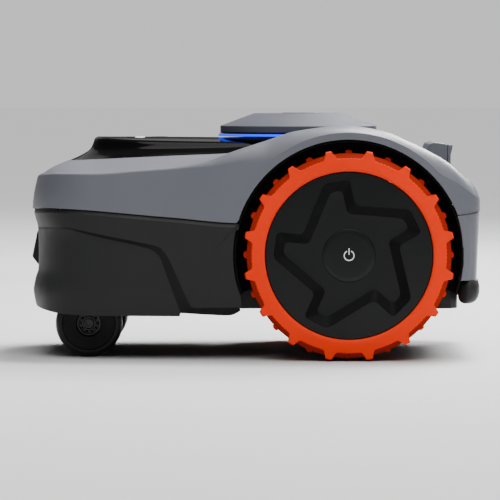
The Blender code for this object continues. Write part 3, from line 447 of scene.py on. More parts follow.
def make_finishes():
    plastic = moulded_plastic
    return {
        "shell_grey": plastic("shell_satin", (0.090, 0.094, 0.111), 0.43, 2600, 0.25),
        "pod_grey": plastic("pod_satin", (0.062, 0.065, 0.078), 0.58, 2600, 0.25, 0.10),
        "skirt_black": plastic("skirt_matt", (0.0078, 0.0080, 0.0080), 0.52, 2600, 0.35, 0.28),
        # A darker black for the skirt's step wall: painted shade.
        "step_wall_painted_shade": plastic("skirt_step_painted_shade", (0.0022, 0.0022, 0.0022), 0.60, 2600, 0.35, 0.20),
        "liner_black": plastic("liner_dull", (0.0022, 0.0020, 0.0020), 0.75, 1500, 0.3, 0.1),
        "deck_gloss": plastic("deck_polished", (0.0025, 0.0025, 0.0025), 0.11, 900, 0.03, 0.10, 0.02),
        "hub_black": plastic("hub_satin", (0.0042, 0.0046, 0.0047), 0.34, 2200, 0.15, 0.20),
        # A deeper black for the star's sloping walls: painted shade.
        "star_wall_painted_shade_black": plastic("star_wall_painted_shade", (0.0012, 0.0012, 0.0012), 0.60, 2200, 0.15, 0.10),
        "tyre_orange": plastic("tyre_compound", (0.74, 0.024, 0.0008), 0.66, 1400, 0.4, 0.03, 0.03),
        # Darker orange for the skin over the tread between the lugs: painted shade.
        "tyre_tread_painted_shade": plastic("tyre_tread_compound", (0.26, 0.011, 0.0010), 0.70, 1400, 0.4, 0.05, 0.06),
        "caster_black": plastic("caster_matt", (0.0040, 0.0040, 0.0040), 0.50, 2000, 0.4, 0.2),
        "caster_rubber": plastic("caster_tread_rubber", (0.0042, 0.0040, 0.0038), 0.42, 2000, 0.4, 0.3),
        "light_blue": lit_guide("light_guide", (0.001, 0.047, 1.0), 1.65),
        "steel": brushed_metal("steel_turned", (0.56, 0.56, 0.57), 0.30),
        "bearing": brushed_metal("bearing_blackened", (0.045, 0.045, 0.046), 0.38),
        "motor_metal": brushed_metal("motor_cast", (0.42, 0.43, 0.44), 0.50),
        "contact_brass": brushed_metal("contact_plated", (0.80, 0.58, 0.25), 0.28),
        "board_green": circuit_board("board_mask", (0.010, 0.070, 0.028), (0.022, 0.13, 0.05)),
        "battery_grey": plastic("battery_wrap", (0.05, 0.06, 0.08), 0.45, 300, 0.5),
        "display_glass": plastic("display_pane", (0.003, 0.003, 0.004), 0.06, 400, 0.02),
        "key_white": plastic("key_pale", (0.72, 0.72, 0.72), 0.38, 1500, 0.2),
        "stop_red": plastic("stop_dot_red", (0.60, 0.018, 0.014), 0.38, 1500, 0.2),
    }


FINISH = make_finishes()

# ---- light ----
FLOOR_REACH = 60.0
FLOOR_FADE = 6.0
AMBIENT_STRENGTH = 0.06
BACKGROUND_STRENGTH = 0.76
TOP_STRENGTH = 2.6
FRONT_POWER = 50
OVERHEAD_POWER = 140
REAR_POWER = 2.0
TAIL_POWER = 230


# ---- grey upper shell ----
STATION_PARTS = 8
FINEST_STEP = 0.02
SIDE_FROM = 0.13
SHELL_WALL = 2.4 * MM
LIP_DEPTH = 4 * MM


def arch_z(x, radius):
    """Height of a circle round the wheel centre, or 0 outside its reach."""
    reach = radius ** 2 - (x - WHEEL_X) ** 2
    return WHEEL_Z + math.sqrt(reach) if reach > 0 else 0.0


def arch_x(z, radius, end):
    """Place of a circle round the wheel centre at a height; end is -1 in front and 1 behind."""
    return WHEEL_X + end * math.sqrt(radius ** 2 - (z - WHEEL_Z) ** 2)


def right_stations():
    """Stations from nose to tail, close together where the wheel arch cuts the side."""
    stations = [k / STATION_PARTS for k in range(TAIL_STATION * STATION_PARTS + 1)]
    for k in range(81):
        turn = math.radians(14 + 1.9 * k)
        stations.append(station_at(WHEEL_X + ARCH_RADIUS * math.cos(turn)))
    stations.sort()
    kept = [stations[0]]
    for station in stations[1:]:
        if station - kept[-1] > FINEST_STEP:
            kept.append(station)
    kept[-1] = float(TAIL_STATION)
    return kept


def shell_section(station):
    """Points of the shell's outer skin from its lower edge up to the edge of the deck."""
    outer = outer_at(station)
    edge = deck_at(station)
    inward = (edge - outer).normalized()
    outer = outer + inward * SKIN_CLEARANCE
    width = (edge - outer).length
    x = outer.x
    on_side = abs(outer.y) > SIDE_FROM
    parting = parting_z(x)
    low = max(parting, arch_z(x, ARCH_RADIUS)) if on_side else parting
    band = max(low + 0.2 * MM, arch_z(x, BAND_RADIUS) if on_side else 0.0)
    fender = ramp(x, -0.05, 0.02) * ramp(abs(outer.y), 0.09, 0.15)
    nose = 1 - ramp(x, -0.262, -0.200)
    draft = draft_at(x)
    turn_in = round_width(x)
    crest = crest_z(x + fender * inward.x * (draft + turn_in))
    start = max(band + 0.1 * MM, crest - round_height(x))
    rise = crest - start

    def lean(z):
        """The wall bellies out: upright at the parting line, leaning in more and more above it."""
        share = max(0.0, z - parting) / (crest - parting)
        return draft * share ** 1.8

    heights = [low, mix(low, band, 0.5), band] + [mix(band, start, k / 4) for k in range(1, 5)]
    points = [(lean(z), z) for z in heights]
    foot = points[-1][0]
    first = math.radians(34) * ramp(x, -0.02, 0.09)
    for k in range(1, 11):
        turn = mix(first, math.pi / 2, k / 10)
        depth = turn_in * (math.cos(first) - math.cos(turn)) / math.cos(first)
        climb = rise * (math.sin(turn) - math.sin(first)) / (1 - math.sin(first))
        points.append((foot + depth, start + climb))
    base = points[-1][0]
    rim = inner_z(edge.x)
    span = max(width - base, 1 * MM)
    for k in range(1, 13):
        share = k / 12
        ridge = crest_z(x + fender * inward.x * (base + share * span))
        curve = mix(share, share ** 1.9, fender)
        swell = 2.4 * MM * nose * math.sin(math.pi * share ** 0.7)
        points.append((base + share * (width - 0.4 * MM - base), mix(ridge, rim, curve) + swell))
    points.append((points[-1][0], rim - LIP_DEPTH))
    return [Vector((*(outer + inward * depth), z)) for depth, z in points]


def on_band_line(point):
    """True on the crisp line that runs round the fender outside the wheel arch."""
    from_wheel = math.hypot(point.x - WHEEL_X, point.z - WHEEL_Z)
    return abs(point.y) > SIDE_FROM and abs(from_wheel - BAND_RADIUS) < 0.5 * MM


def mirrored(rows):
    """Mirror a table of points across the machine's middle plane, in the opposite row order."""
    return [[Vector((p.x, -p.y, p.z)) for p in row] for row in reversed(rows)]


def make_upper_shell():
    right = [shell_section(station) for station in right_stations()]
    rows = right + mirrored(right)[1:-1]
    shell = grid_piece("shell_cover", rows, loop_rows=True, sharp_degrees=17, skin=True,
                       crisp_at=on_band_line)
    thicken(shell, SHELL_WALL)
    bevel(shell, 0.35 * MM, 2, 45)
    dress(shell, "chassis", "shell_grey", "upper_shell")


# ---- black front skirt ----
# The skirt's proud rear panel steps down to a recessed front panel. Each knot is a place along the step:
# x at the foot of the recessed panel, lower and upper line of the step as (x, z), and x at the top.
STEP_KNOTS = (
    (-0.2212, (-0.2212, 0.1560), (-0.2212, 0.1585), -0.2212),
    (-0.1869, (-0.1869, 0.1472), (-0.1869, 0.1512), -0.1869),
    (-0.1420, (-0.1398, 0.1373), (-0.1380, 0.1417), -0.1450),
    (-0.1280, (-0.1211, 0.1315), (-0.1148, 0.1364), -0.1050),
    (-0.1200, (-0.1123, 0.1226), (-0.1064, 0.1295), -0.0650),
    (-0.1140, (-0.1084, 0.1128), (-0.1005, 0.1197), -0.0350),
    (-0.1040, (-0.0985, 0.0860), (-0.0885, 0.0935), -0.0191),
    (-0.0950, (-0.0910, 0.0650), (-0.0775, 0.0690), None),
    (-0.0890, (-0.0878, 0.0569), (-0.0711, 0.0638), None),
)
FOOT_KNOTS = (((-0.0550, 0.0550), (-0.0480, 0.0638)), ((-0.0280, 0.0545), (-0.0280, 0.0638)),
              ((-0.0158, 0.0600), (-0.0170, 0.0640)))
REAR_EDGE_Z = (0.1648, 0.1260, 0.1000, 0.0850, 0.0724, 0.0655)
REAR_EDGE_X = -0.0150
CREASE = ((-0.2726, 0.0790), (-0.2575, 0.0804), (-0.1005, 0.0853))
SIDE_RECESS = ((0.0540, 0.0072), (0.0830, 0.0034), (0.1100, 0.0040), (0.1480, 0.0046), (0.1620, 0.0022),
               (0.1800, 0.0004))
NOSE_RECESS = ((0.0540, 0.0064), (0.0660, 0.0028), (0.0780, 0.0009), (0.0920, 0.0036), (0.1060, 0.0078),
               (0.1300, 0.0080), (0.1550, 0.0070), (0.1680, 0.0032), (0.1800, 0.0004))
PROUD = ((0.0540, 0.0046), (0.0640, 0.0020), (0.1000, 0.0012), (0.1650, 0.0004))
WINDOW_HALF_WIDTH = 0.030
WINDOW_LOW = 0.102
WINDOW_HIGH = 0.153
CHAMFER_HEIGHT = 4.2 * MM
CHAMFER_DEPTH = 1.7 * MM
STEP_PARTS = 10
crease_z = height_line(CREASE)
side_recess = height_line(SIDE_RECESS)
nose_recess = height_line(NOSE_RECESS)
proud_depth = height_line(PROUD)


def curve_through(points, parts=STEP_PARTS):
    """Sample a smooth curve through points, with a number of parts between each pair."""
    ends = [Vector(p) for p in (points[0], *points, points[-1])]
    curve = []
    for near in zip(ends, ends[1:], ends[2:], ends[3:]):
        curve += [smooth_step(*near, k / parts) for k in range(parts)]
    curve.append(ends[-1])
    return curve


def values_through(values):
    """Sample a smooth run of single values."""
    return [point.x for point in curve_through([(value, 0.0) for value in values])]


def recess_depth(x, z):
    return mix(side_recess(z), nose_recess(z), 1 - ramp(x, -0.268, -0.222))


def skirt_point(station, z, depth):
    outer = outer_at(station)
    inward = (deck_at(station) - outer).normalized()
    spot = outer + inward * (depth + SKIN_CLEARANCE)
    return Vector((spot.x, spot.y, z))


def proud_point(x, z, station=None):
    depth = mix(recess_depth(x, z), proud_depth(z), ramp(x, -0.256, -0.210))
    return skirt_point(station_at(x) if station is None else station, z, depth)


def recessed_point(x, z, station=None):
    return skirt_point(station_at(x) if station is None else station, z, recess_depth(x, z))


def panel_top(x):
    return parting_z(x) - 1.2 * MM


def top_column(low_x, low_z, top_x, top_z, chamfer, station=None):
    """Proud points from the step's upper line to the top edge, which has a chamfer under the shell."""
    shoulder = top_z - CHAMFER_HEIGHT * chamfer
    spots = [(mix(low_x, top_x, k / 14), mix(low_z, shoulder, k / 14)) for k in range(15)]
    points = [proud_point(x, z, station) for x, z in spots]
    edge = proud_point(top_x, top_z, station)
    if station is None:
        inward = Vector((0.0, 1.0, 0.0))
    else:
        inward = (deck_at(station) - outer_at(station)).normalized().to_3d()
    points.append(edge + inward * CHAMFER_DEPTH * chamfer)
    return points


def low_column(foot_x, line_x, line_z, station=None):
    """Recessed points from the bottom edge over the crease to the step's lower line."""
    bottom = skirt_bottom_z(foot_x)
    crease = min(crease_z(foot_x), mix(bottom, line_z, 0.5))
    nose_crease = CREASE[0][1]
    window_share = (WINDOW_LOW - nose_crease) / (WINDOW_HIGH - nose_crease)
    shares = [0, 0.1, 0.2, window_share, 0.42, 0.54, 0.66, 0.8, 0.9, 1]
    spots = [(foot_x, mix(bottom, crease, k / 5)) for k in range(5)]
    spots += [(mix(foot_x, line_x, share), mix(crease, line_z, share)) for share in shares]
    return [recessed_point(x, z, station) for x, z in spots]


def skirt_half():
    """Tables of points for the right half: recessed panel, step wall and proud panel."""
    recessed = []
    wall = []
    proud = []
    start = station_at(STEP_KNOTS[0][0])
    window_end = 0.6
    while -outer_at(window_end).y < WINDOW_HALF_WIDTH:
        window_end += 0.01
    nose = [window_end * k / 6 for k in range(6)] + [mix(window_end, start, k / 30) for k in range(30)]
    for station in nose:
        x = outer_at(station).x
        share = ramp(station, window_end, start)
        low = mix(WINDOW_HIGH, STEP_KNOTS[0][1][1], share)
        high = mix(WINDOW_HIGH + 2.5 * MM, STEP_KNOTS[0][2][1], share)
        recessed.append(low_column(x, x, low, station))
        wall.append([recessed_point(x, low, station), proud_point(x, high, station)])
        proud.append(top_column(x, high, x, panel_top(x), 1.0, station))
    feet, lower, upper, tops = zip(*STEP_KNOTS)
    foot_lower, foot_upper = zip(*FOOT_KNOTS)
    lower_line = curve_through(lower)
    upper_line = curve_through(upper + foot_upper)
    wall_line = lower_line[:-1] + curve_through(lower[-1:] + foot_lower)
    top_line = [(x, panel_top(x), 1.0) for x in values_through([x for x in tops if x is not None])]
    for z in values_through(REAR_EDGE_Z)[1:]:
        top_line.append((min(REAR_EDGE_X, arch_x(z, ARCH_RADIUS, -1)), z, 0.0))
    for foot_x, line in zip(values_through(feet), lower_line):
        recessed.append(low_column(foot_x, line.x, line.y))
    for low, high in zip(wall_line, upper_line):
        wall.append([recessed_point(low.x, low.y), proud_point(high.x, high.y)])
    for high, (x, z, chamfer) in zip(upper_line, top_line):
        proud.append(top_column(high.x, high.y, x, z, chamfer))
    return recessed, wall, proud


def in_window(face):
    middle = face.calc_center_median()
    return (middle.x < -0.25 and abs(middle.y) < WINDOW_HALF_WIDTH
            and WINDOW_LOW < middle.z < WINDOW_HIGH)


def make_front_skirt():
    shape = bmesh.new()
    recessed, wall, proud = skirt_half()
    for table in (wall, recessed, proud):
        add_grid(shape, table)
        add_grid(shape, mirrored(table))
        # The step wall takes the second slot, a darker black: painted shade under the step.
        if table is wall:
            for face in shape.faces:
                face.material_index = 1
    window = [face for face in shape.faces if in_window(face)]
    bmesh.ops.delete(shape, geom=window, context="FACES")
    skirt = keep("front_skirt", shape, sharp_degrees=14, skin=True)
    thicken(skirt, 2.6 * MM)
    bevel(skirt, 0.5 * MM, 3, 50)
    dress(skirt, "bumper", "skirt_black", "front_bumper")
    skirt.data.materials.append(FINISH["step_wall_painted_shade"])


# ---- rear panel and rear bumper ----
PANEL_LOW = 0.0957
PANEL_HIGH = 0.1732
PANEL_LEAN = ((PANEL_LOW, 0.0046), (0.1270, 0.0033), (0.1600, 0.0013), (0.1800, 0.0003))
panel_lean = height_line(PANEL_LEAN)
BUMPER_FRONT_X = 0.2570
BUMPER_MIDDLE = Vector((0.0120, 0.0815))
BUMPER_SECTION = ((0.0034, 0.0950), (0.0008, 0.0868), (0.0018, 0.0775), (0.0068, 0.0706), (0.0150, 0.0677),
                  (0.0222, 0.0715), (0.0238, 0.0830), (0.0220, 0.0930), (0.0130, 0.0952))


def panel_row(z):
    """Points at one height from the wheel arch round to the middle of the tail."""
    front = station_at(arch_x(z, ARCH_RADIUS, 1))
    band = station_at(arch_x(z, BAND_RADIUS, 1))
    row = [skirt_point(mix(front, band, k / 4), z, panel_lean(z)) for k in range(5)]
    for k in range(1, 41):
        station = mix(band, TAIL_STATION, (k / 40) ** 1.3)
        fall = 0.9 * MM * ramp(station - band, 0.0, 0.22)
        row.append(skirt_point(station, z, panel_lean(z) + fall))
    return row


def make_rear_panel():
    """The grey wall behind the wheels, drawn in up to the parting line."""
    rows = [panel_row(mix(PANEL_LOW, PANEL_HIGH, k / 24)) for k in range(25)]
    rows.append([Vector((spot.x, spot.y, parting_z(spot.x) - 0.8 * MM)) for spot in rows[-1]])
    columns = list(zip(*rows))
    panel = grid_piece("rear_cover", columns + mirrored(columns)[1:], sharp_degrees=12, skin=True)
    thicken(panel, 2.6 * MM)
    bevel(panel, 0.4 * MM, 2, 45)
    dress(panel, "chassis", "shell_grey", "rear_panel")


def make_rear_bumper():
    """A rounded bar round the tail that tapers off at both ends."""
    section = curve_through(BUMPER_SECTION + BUMPER_SECTION[:1], 5)[:-1]
    front = station_at(BUMPER_FRONT_X)
    columns = []
    for k in range(61):
        station = mix(front, TAIL_STATION, k / 60)
        bulge = math.sqrt(1 - (1 - min(1.0, 0.25 + k / 5)) ** 2)
        points = [BUMPER_MIDDLE + (p - BUMPER_MIDDLE) * bulge for p in section]
        columns.append([skirt_point(station, p.y, p.x) for p in points])
    shape = bmesh.new()
    add_tube(shape, columns + mirrored(columns)[1:])
    bumper = keep("rear_foot_bumper", shape, sharp_degrees=60)
    dress(bumper, "chassis", "skirt_black", "rear_bumper")


# ---- carry handle ----
HANDLE_BAR = ((0.2090, 0.2445), (0.2140, 0.2570), (0.2205, 0.2592), (0.2362, 0.2567), (0.2362, 0.2435))
HANDLE_BAR_CAP = ((0.2366, 0.2435), (0.2366, 0.2566), (0.2431, 0.2555), (0.2418, 0.2490), (0.2412, 0.2435))
HANDLE_GRIP_HALF = 0.0500
HANDLE_HALF_LENGTH = 0.0655


def side_bar(name, outline, corner, low_y, high_y, edge):
    """A bar across the machine with a drawn side view."""
    shape = bmesh.new()
    upright = Matrix(((1, 0, 0, 0), (0, 0, 1, 0), (0, 1, 0, 0), (0, 0, 0, 1)))
    extruded(shape, rounded(outline, corner, 5), upright, low_y, high_y)
    bar = keep(name, shape, sharp_degrees=35)
    bevel(bar, edge, 4, 40)
    return dress(bar, "chassis", "shell_grey")


def make_carry_handle():
    """A bar on two legs, each with a rear cap strip behind a fine seam."""
    bar = side_bar("handle_bar", HANDLE_BAR, 2.5 * MM, -HANDLE_GRIP_HALF, HANDLE_GRIP_HALF, 0.4 * MM)
    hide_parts("carry_handle")
    side_bar("handle_bar_cap", HANDLE_BAR_CAP, 1.2 * MM, -HANDLE_GRIP_HALF, HANDLE_GRIP_HALF, 0.4 * MM)
    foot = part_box("carry_handle")[0].z
    leg = ((0.2106, foot), *HANDLE_BAR[:4], (0.2362, foot))
    leg_cap = ((0.2366, foot), *HANDLE_BAR_CAP[1:4], (0.2404, 0.2435), (0.2404, foot))
    for label, side in SIDES:
        low_y, high_y = sorted((side * (HANDLE_GRIP_HALF + 0.1 * MM), side * HANDLE_HALF_LENGTH))
        side_bar(f"handle_leg_{label}", leg, 2.5 * MM, low_y, high_y, 1.2 * MM)
        side_bar(f"handle_leg_cap_{label}", leg_cap, 1.2 * MM, low_y, high_y, 1.0 * MM)


# ---- top deck ----
DECK_CROWN = 5 * MM
DECK_HALF_WIDTH = 0.076
DECK_PARTS = 8


def make_top_deck():
    """Hollow-sided walls, a soft edge and a gently crowned top."""
    loop = [deck_at(k / DECK_PARTS) for k in range(2 * TAIL_STATION * DECK_PARTS)]
    rows = []
    for k in range(27):
        depth = DECK_WALL[-1][0] * k / 26
        share = deck_wall(depth)
        ring = []
        for edge, spot in zip(loop, inset(loop, depth)):
            low = inner_z(edge.x)
            top = deck_top_z(spot.x) - DECK_CROWN * (spot.y / DECK_HALF_WIDTH) ** 2
            ring.append(Vector((spot.x, spot.y, mix(low, top, share))))
        rows.append(ring)
    rim = rows[-1]
    for share in (0.985, 0.95, 0.85, 0.7, 0.5, 0.3, 0.12, 0.0):
        crown = DECK_CROWN * (1 - share ** 2) / DECK_HALF_WIDTH ** 2
        rows.append([Vector((p.x, p.y * share, p.z + crown * p.y ** 2)) for p in rim])
    rows.insert(0, [Vector((p.x, p.y, p.z - 3 * MM)) for p in rows[0]])
    deck = grid_piece("deck_insert", list(zip(*rows)), loop_rows=True, sharp_degrees=50, skin=True)
    thicken(deck, 2.2 * MM)
    for name in ("power_key", "start_key", "home_key", "stop_button"):
        cut_round(deck, name, 0.4 * MM)
    cut_display(deck)
    dress(deck, "chassis", "deck_gloss", "top_deck")


def as_cutter(tool, piece):
    """Hide a helper and take its shape out of a piece."""
    tool.hide_render = True
    tool.hide_viewport = True
    tool.display_type = "WIRE"
    change = piece.modifiers.new(tool.name, "BOOLEAN")
    change.operation = "DIFFERENCE"
    change.solver = "EXACT"
    change.object = tool


def cut_round(piece, node, gap):
    middle = middle_of(node)
    radius = 0.5 * size_of(node).x + gap
    shape = bmesh.new()
    outline = [polar(radius, math.tau * k / 48) for k in range(48)]
    extruded(shape, outline, at(middle.x, middle.y, 0), middle.z - 12 * MM, middle.z + 12 * MM)
    as_cutter(keep(f"hole_{node}", shape), piece)


def cut_display(piece):
    middle = middle_of("display_window")
    half = 0.5 * size_of("display_window")
    gap = 0.3 * MM
    outline = rounded(rectangle(-half.x - gap, -half.y - gap, half.x + gap, half.y + gap), 2.3 * MM)
    shape = bmesh.new()
    extruded(shape, outline, at(middle.x, middle.y, 0), middle.z - 0.8 * MM, middle.z + 6 * MM)
    as_cutter(keep("hole_display", shape), piece)


def make_controls():
    """Round keys with a dished top and a soft edge, and the dark stop button with its red dot."""
    for name in ("power_key", "start_key", "home_key"):
        make_button(name, 0.35 * MM, "key_white")
    make_button("stop_button", 0.0, "hub_black")
    middle = middle_of("stop_button")
    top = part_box("stop_button")[1].z
    radius = 2.4 * MM
    dot = rectangle(0.0, top - 1.0 * MM, radius, top - 0.01 * MM)
    place = at(middle.x - 7.2 * MM, middle.y, 0)
    mark = turned("stop_button_dot", soften(dot, 0.1 * MM, 2), place, 48)
    dress(mark, "stop_button", "stop_red")


def make_button(name, dish, slot):
    low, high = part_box(name)
    middle = middle_of(name)
    radius = 0.5 * (high.x - low.x)
    top = high.z - 0.05 * MM
    profile = [(0.0, low.z), (radius, low.z), (radius, high.z - 0.9 * MM),
               (radius - 0.25 * MM, high.z - 0.3 * MM), (radius - 0.9 * MM, high.z),
               (radius - 1.6 * MM, top)]
    profile += [(radius * share, top - dish * (1 - share ** 2)) for share in (0.6, 0.3, 0.0)]
    key = turned(f"{name}_cap", profile, at(middle.x, middle.y, 0), 48)
    dress(key, name, slot, name)


# ---- pod ----
POD_RIM_Z = 0.2787
POD_TOP_RADIUS = 0.0548


def make_pod():
    """The round pod: bowl, light guide, dark collar, sloping cover and flat badge disc."""
    place = at(POD_X, 0, 0)
    ring_low, ring_high = (corner.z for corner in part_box("light_ring"))
    cover_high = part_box("pod_cover")[1].z
    cap_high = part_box("pod_cap")[1].z
    cap_radius = 0.5 * size_of("pod_cap").x
    neck = [(0.080, 0.2360), (0.080, 0.2478), (0.0870, 0.2513), (0.0940, 0.2558), (0.0980, 0.2606),
            (RING_RADIUS - 0.6 * MM, 0.2640), (0.0940, 0.2642)]
    bowl = turned("pod_bowl", soften(neck, 4 * MM, 6), place, 160, sharp_degrees=40)
    dress(bowl, "chassis", "deck_gloss", "pod_neck", finish="hub_black")
    glow_low = ring_low + 1.4 * MM
    glow_high = glow_low + 2.9 * MM
    guide = rectangle(0.0945, glow_low, RING_RADIUS - 0.1 * MM, glow_high)
    ring = turned("pod_light_ring", soften(guide, 0.9 * MM, 5), place, 160, closed=True, sharp_degrees=60)
    dress(ring, "chassis", "light_blue", "light_ring")
    collar = rectangle(0.0900, glow_high + 0.1 * MM, 0.0968, ring_high + 0.2 * MM)
    dark = turned("pod_collar", soften(collar, 0.2 * MM, 2), place, 160, closed=True, sharp_degrees=40)
    dress(dark, "chassis", "deck_gloss")
    outside = [(0.0900, ring_high + 0.3 * MM), (POD_RADIUS, ring_high + 0.3 * MM), (POD_RADIUS, POD_RIM_Z),
               (POD_TOP_RADIUS, cover_high), (cap_radius + 0.45 * MM, cover_high - 0.1 * MM),
               (cap_radius + 0.45 * MM, cover_high - 3 * MM), (0.0, cover_high - 3 * MM)]
    cover = turned("pod_shell", soften(outside, 1.0 * MM, 5), place, 160, sharp_degrees=13)
    dress(cover, "chassis", "shell_grey", "pod_cover", finish="pod_grey")
    disc = [(cap_radius, cap_high - 3 * MM), (cap_radius, cap_high), (0.0, cap_high)]
    cap = turned("pod_badge_disc", soften(disc, 0.5 * MM, 4), place, 96, sharp_degrees=40)
    dress(cap, "chassis", "shell_grey", "pod_cap", finish="pod_grey")


# ---- drive wheels ----
# The tyre is drawn in millimetres: LUG rows are (arc from the lug's middle, radius), SPAN rows and TREAD
# are (place across the tyre, radius), TREAD_BAND is (radius, place across the tyre).
LUG_COUNT = 16
ARC_RADIUS = 120.0
BEAD_FRONT = ((100.2, 143.5), (104.0, 142.6))
BEAD_BACK = ((113.0, 192.5), (108.0, 192.5), (104.0, 192.5), (102.4, 192.1), (100.9, 191.3), (100.2, 190.4))
LUG_SAMPLES = (0.0, 1.6, 2.9, 3.3, 3.9, 4.6, 5.4, 6.2, 7.0, 7.9, 8.9, 10.2, 12.0, 13.6, 15.0, 16.4,
               17.2, 17.8, 18.5, 19.2, 19.9, 20.4, 22.0)
NEAR_LUG = ((0.0, 126.0), (2.9, 126.0), (3.5, 125.4), (6.4, 118.0), (7.8, 116.2), (9.6, 115.3),
            (24.0, 115.3))
FAR_LUG = ((0.0, 125.6), (2.4, 125.6), (3.0, 125.0), (5.2, 119.5), (7.0, 115.3), (24.0, 115.3))
TREAD = ((142.5, 115.0), (147.5, 121.5), (187.5, 121.5), (192.5, 115.3))
TREAD_BAND = ((115.4, 192.3), (121.5, 187.5), (121.5, 147.5), (115.4, 142.9), (113.0, 143.5), (113.0, 192.0))
NEAR_SPAN = ((142.5, 110.0), (165.8, 110.0), (168.8, 126.0), (190.3, 126.0), (192.5, 124.6))
FAR_SPAN = ((142.5, 110.0), (143.6, 122.0), (145.2, 126.0), (165.8, 126.0), (168.4, 110.0), (192.5, 110.0))
ACROSS = (142.5, 143.6, 145.0, 146.2, 147.5, 151.0, 156.0, 161.0, 164.6, 165.8, 166.6, 167.4, 168.1,
          168.8, 170.0, 174.0, 179.0, 184.0, 187.5, 188.6, 190.3, 191.4, 192.5)


def straight_line(points):
    """Return a function that joins (x, value) points with straight lines."""
    def value_at(x):
        x = min(max(x, points[0][0]), points[-1][0])
        for (x0, v0), (x1, v1) in zip(points, points[1:]):
            if x <= x1:
                return mix(v0, v1, (x - x0) / (x1 - x0))
        return points[-1][1]
    return value_at


def make_tyre(label, side):
    """A moulded tyre: two staggered rows of tapered lugs, a chamfered shoulder and a flat side face, with a
    darker skin of painted shade over the tread.
    """
    near, far, tread, near_span, far_span = (
        straight_line(line) for line in (NEAR_LUG, FAR_LUG, TREAD, NEAR_SPAN, FAR_SPAN))
    half_arc = 0.5 * math.tau * ARC_RADIUS / LUG_COUNT
    offsets = sorted(set(LUG_SAMPLES) | {half_arc})
    around = [-a for a in reversed(offsets[1:])] + offsets[:-1]
    place = facing_y(WHEEL_X, WHEEL_Z, side)
    rows = []
    for k in range(LUG_COUNT):
        middle = math.pi / 2 + (k + 0.5) * math.tau / LUG_COUNT
        for arc in around:
            angle = middle + arc / ARC_RADIUS
            near_top = near(abs(arc))
            far_top = far(half_arc - abs(arc))
            radii = [max(tread(y), min(near_top, near_span(y)), min(far_top, far_span(y))) for y in ACROSS]
            profile = [*BEAD_FRONT, (radii[0] - 3.0, ACROSS[0]), *zip(radii, ACROSS),
                       (mix(radii[-1], BEAD_BACK[0][0], 0.5), ACROSS[-1]), *BEAD_BACK]
            rows.append(spoke([(radius * MM, y * MM) for radius, y in profile], angle, place))
    tyre = grid_piece(f"lugged_tyre_{label}", rows, loop_rows=True, loop_columns=True, sharp_degrees=27)
    dress(tyre, f"drive_wheel_{label}", "tyre_orange", f"tyre_{label}")
    # A thin darker skin just outside the tread between the lugs, all round the wheel: painted shade.
    skin = [((radius + 0.15) * MM, y * MM) for radius, y in TREAD_BAND]
    band = turned(f"tyre_tread_{label}", skin, place, 160, closed=True)
    dress(band, f"drive_wheel_{label}", "tyre_orange", finish="tyre_tread_painted_shade")


# The star's sloping wall: (inset from the outline, depth below the face), in millimetres.
STAR_SLOPE = ((0.0, 0.55), (0.5, 0.8), (10.0, 6.3), (10.7, 6.65), (11.4, 6.7))
STAR_TURN = math.radians(99.6)
STAR_TIP_RADIUS = 88.4 * MM
STAR_TIP_HALF_WIDTH = 15 * MM
STAR_NOTCH_RADIUS = 60 * MM
STAR_NOTCH_TURN = math.radians(16)
STAR_CORNER = 6 * MM


def star_outline():
    """Five slanted arms: a short side near the arm's middle line and a long sweeping one."""
    corner_radius = math.hypot(STAR_TIP_RADIUS, STAR_TIP_HALF_WIDTH)
    spread = math.atan2(STAR_TIP_HALF_WIDTH, STAR_TIP_RADIUS)
    corners = ((STAR_NOTCH_RADIUS, -STAR_NOTCH_TURN), (corner_radius, -spread), (corner_radius, spread))
    arms = [STAR_TURN + k * math.tau / 5 for k in range(5)]
    return [polar(radius, arm + turn) for arm in arms for radius, turn in corners]


def star_ring(distance):
    """The star outline moved inwards, with many points on its long sides and few round its corners."""
    corner_parts = 6
    curve = rounded(inset(star_outline(), distance), STAR_CORNER, corner_parts)
    ring = []
    for i, point in enumerate(curve):
        parts = 1 if i % (corner_parts + 1) < corner_parts else 22
        after = curve[(i + 1) % len(curve)]
        ring += [mix(point, after, k / parts) for k in range(parts)]
    return ring


def hub_rings():
    """Rings from the back edge of the hub cover over its face, into the star and up to the cap's seat."""
    face_y = HUB_FACE_Y
    lip = star_ring(-0.5 * MM)
    shoulder = HUB_RADIUS - 0.9 * MM

    def dome(radius):
        return 2.2 * MM * (radius / HUB_RADIUS) ** 2

    rings = []
    edge = ((HUB_RADIUS, 8.0), (HUB_RADIUS, 1.2), (HUB_RADIUS - 0.25 * MM, 0.45), (shoulder, 0.0))
    for radius, drop in edge:
        rings.append([(p.normalized() * radius, face_y - dome(radius) - drop * MM) for p in lip])
    for share in (0.33, 0.66, 0.9, 1.0):
        ring = [mix(p.normalized() * shoulder, p, share) for p in lip]
        rings.append([(spot, face_y - dome(spot.length)) for spot in ring])
    for distance, drop in STAR_SLOPE:
        rings.append([(p, face_y - drop * MM) for p in star_ring(distance * MM)])
    floor = rings[-1]
    floor_y = floor[0][1]
    seat = HUB_CAP_RADIUS + 0.35 * MM
    for share in (0.3, 0.6, 0.85, 1.0):
        rings.append([(mix(spot, spot.normalized() * seat, share), floor_y) for spot, _ in floor])
    rings.append([(spot, floor_y - 0.8 * MM) for spot, _ in rings[-1]])
    rings.append([(spot * 0.02, floor_y - 0.8 * MM) for spot, _ in rings[-1]])
    return rings, floor_y


def paint_shade_on_star_walls(cover):
    """Give the sloping walls of the star a deeper black: painted shade in the sunk star."""
    cover.data.materials.append(FINISH["star_wall_painted_shade_black"])
    for face in cover.data.polygons:
        from_axle = math.hypot(face.center.x - WHEEL_X, face.center.z - WHEEL_Z)
        if abs(face.normal.y) < 0.95 and 1.3 * HUB_CAP_RADIUS < from_axle < 0.95 * HUB_RADIUS:
            face.material_index = 1


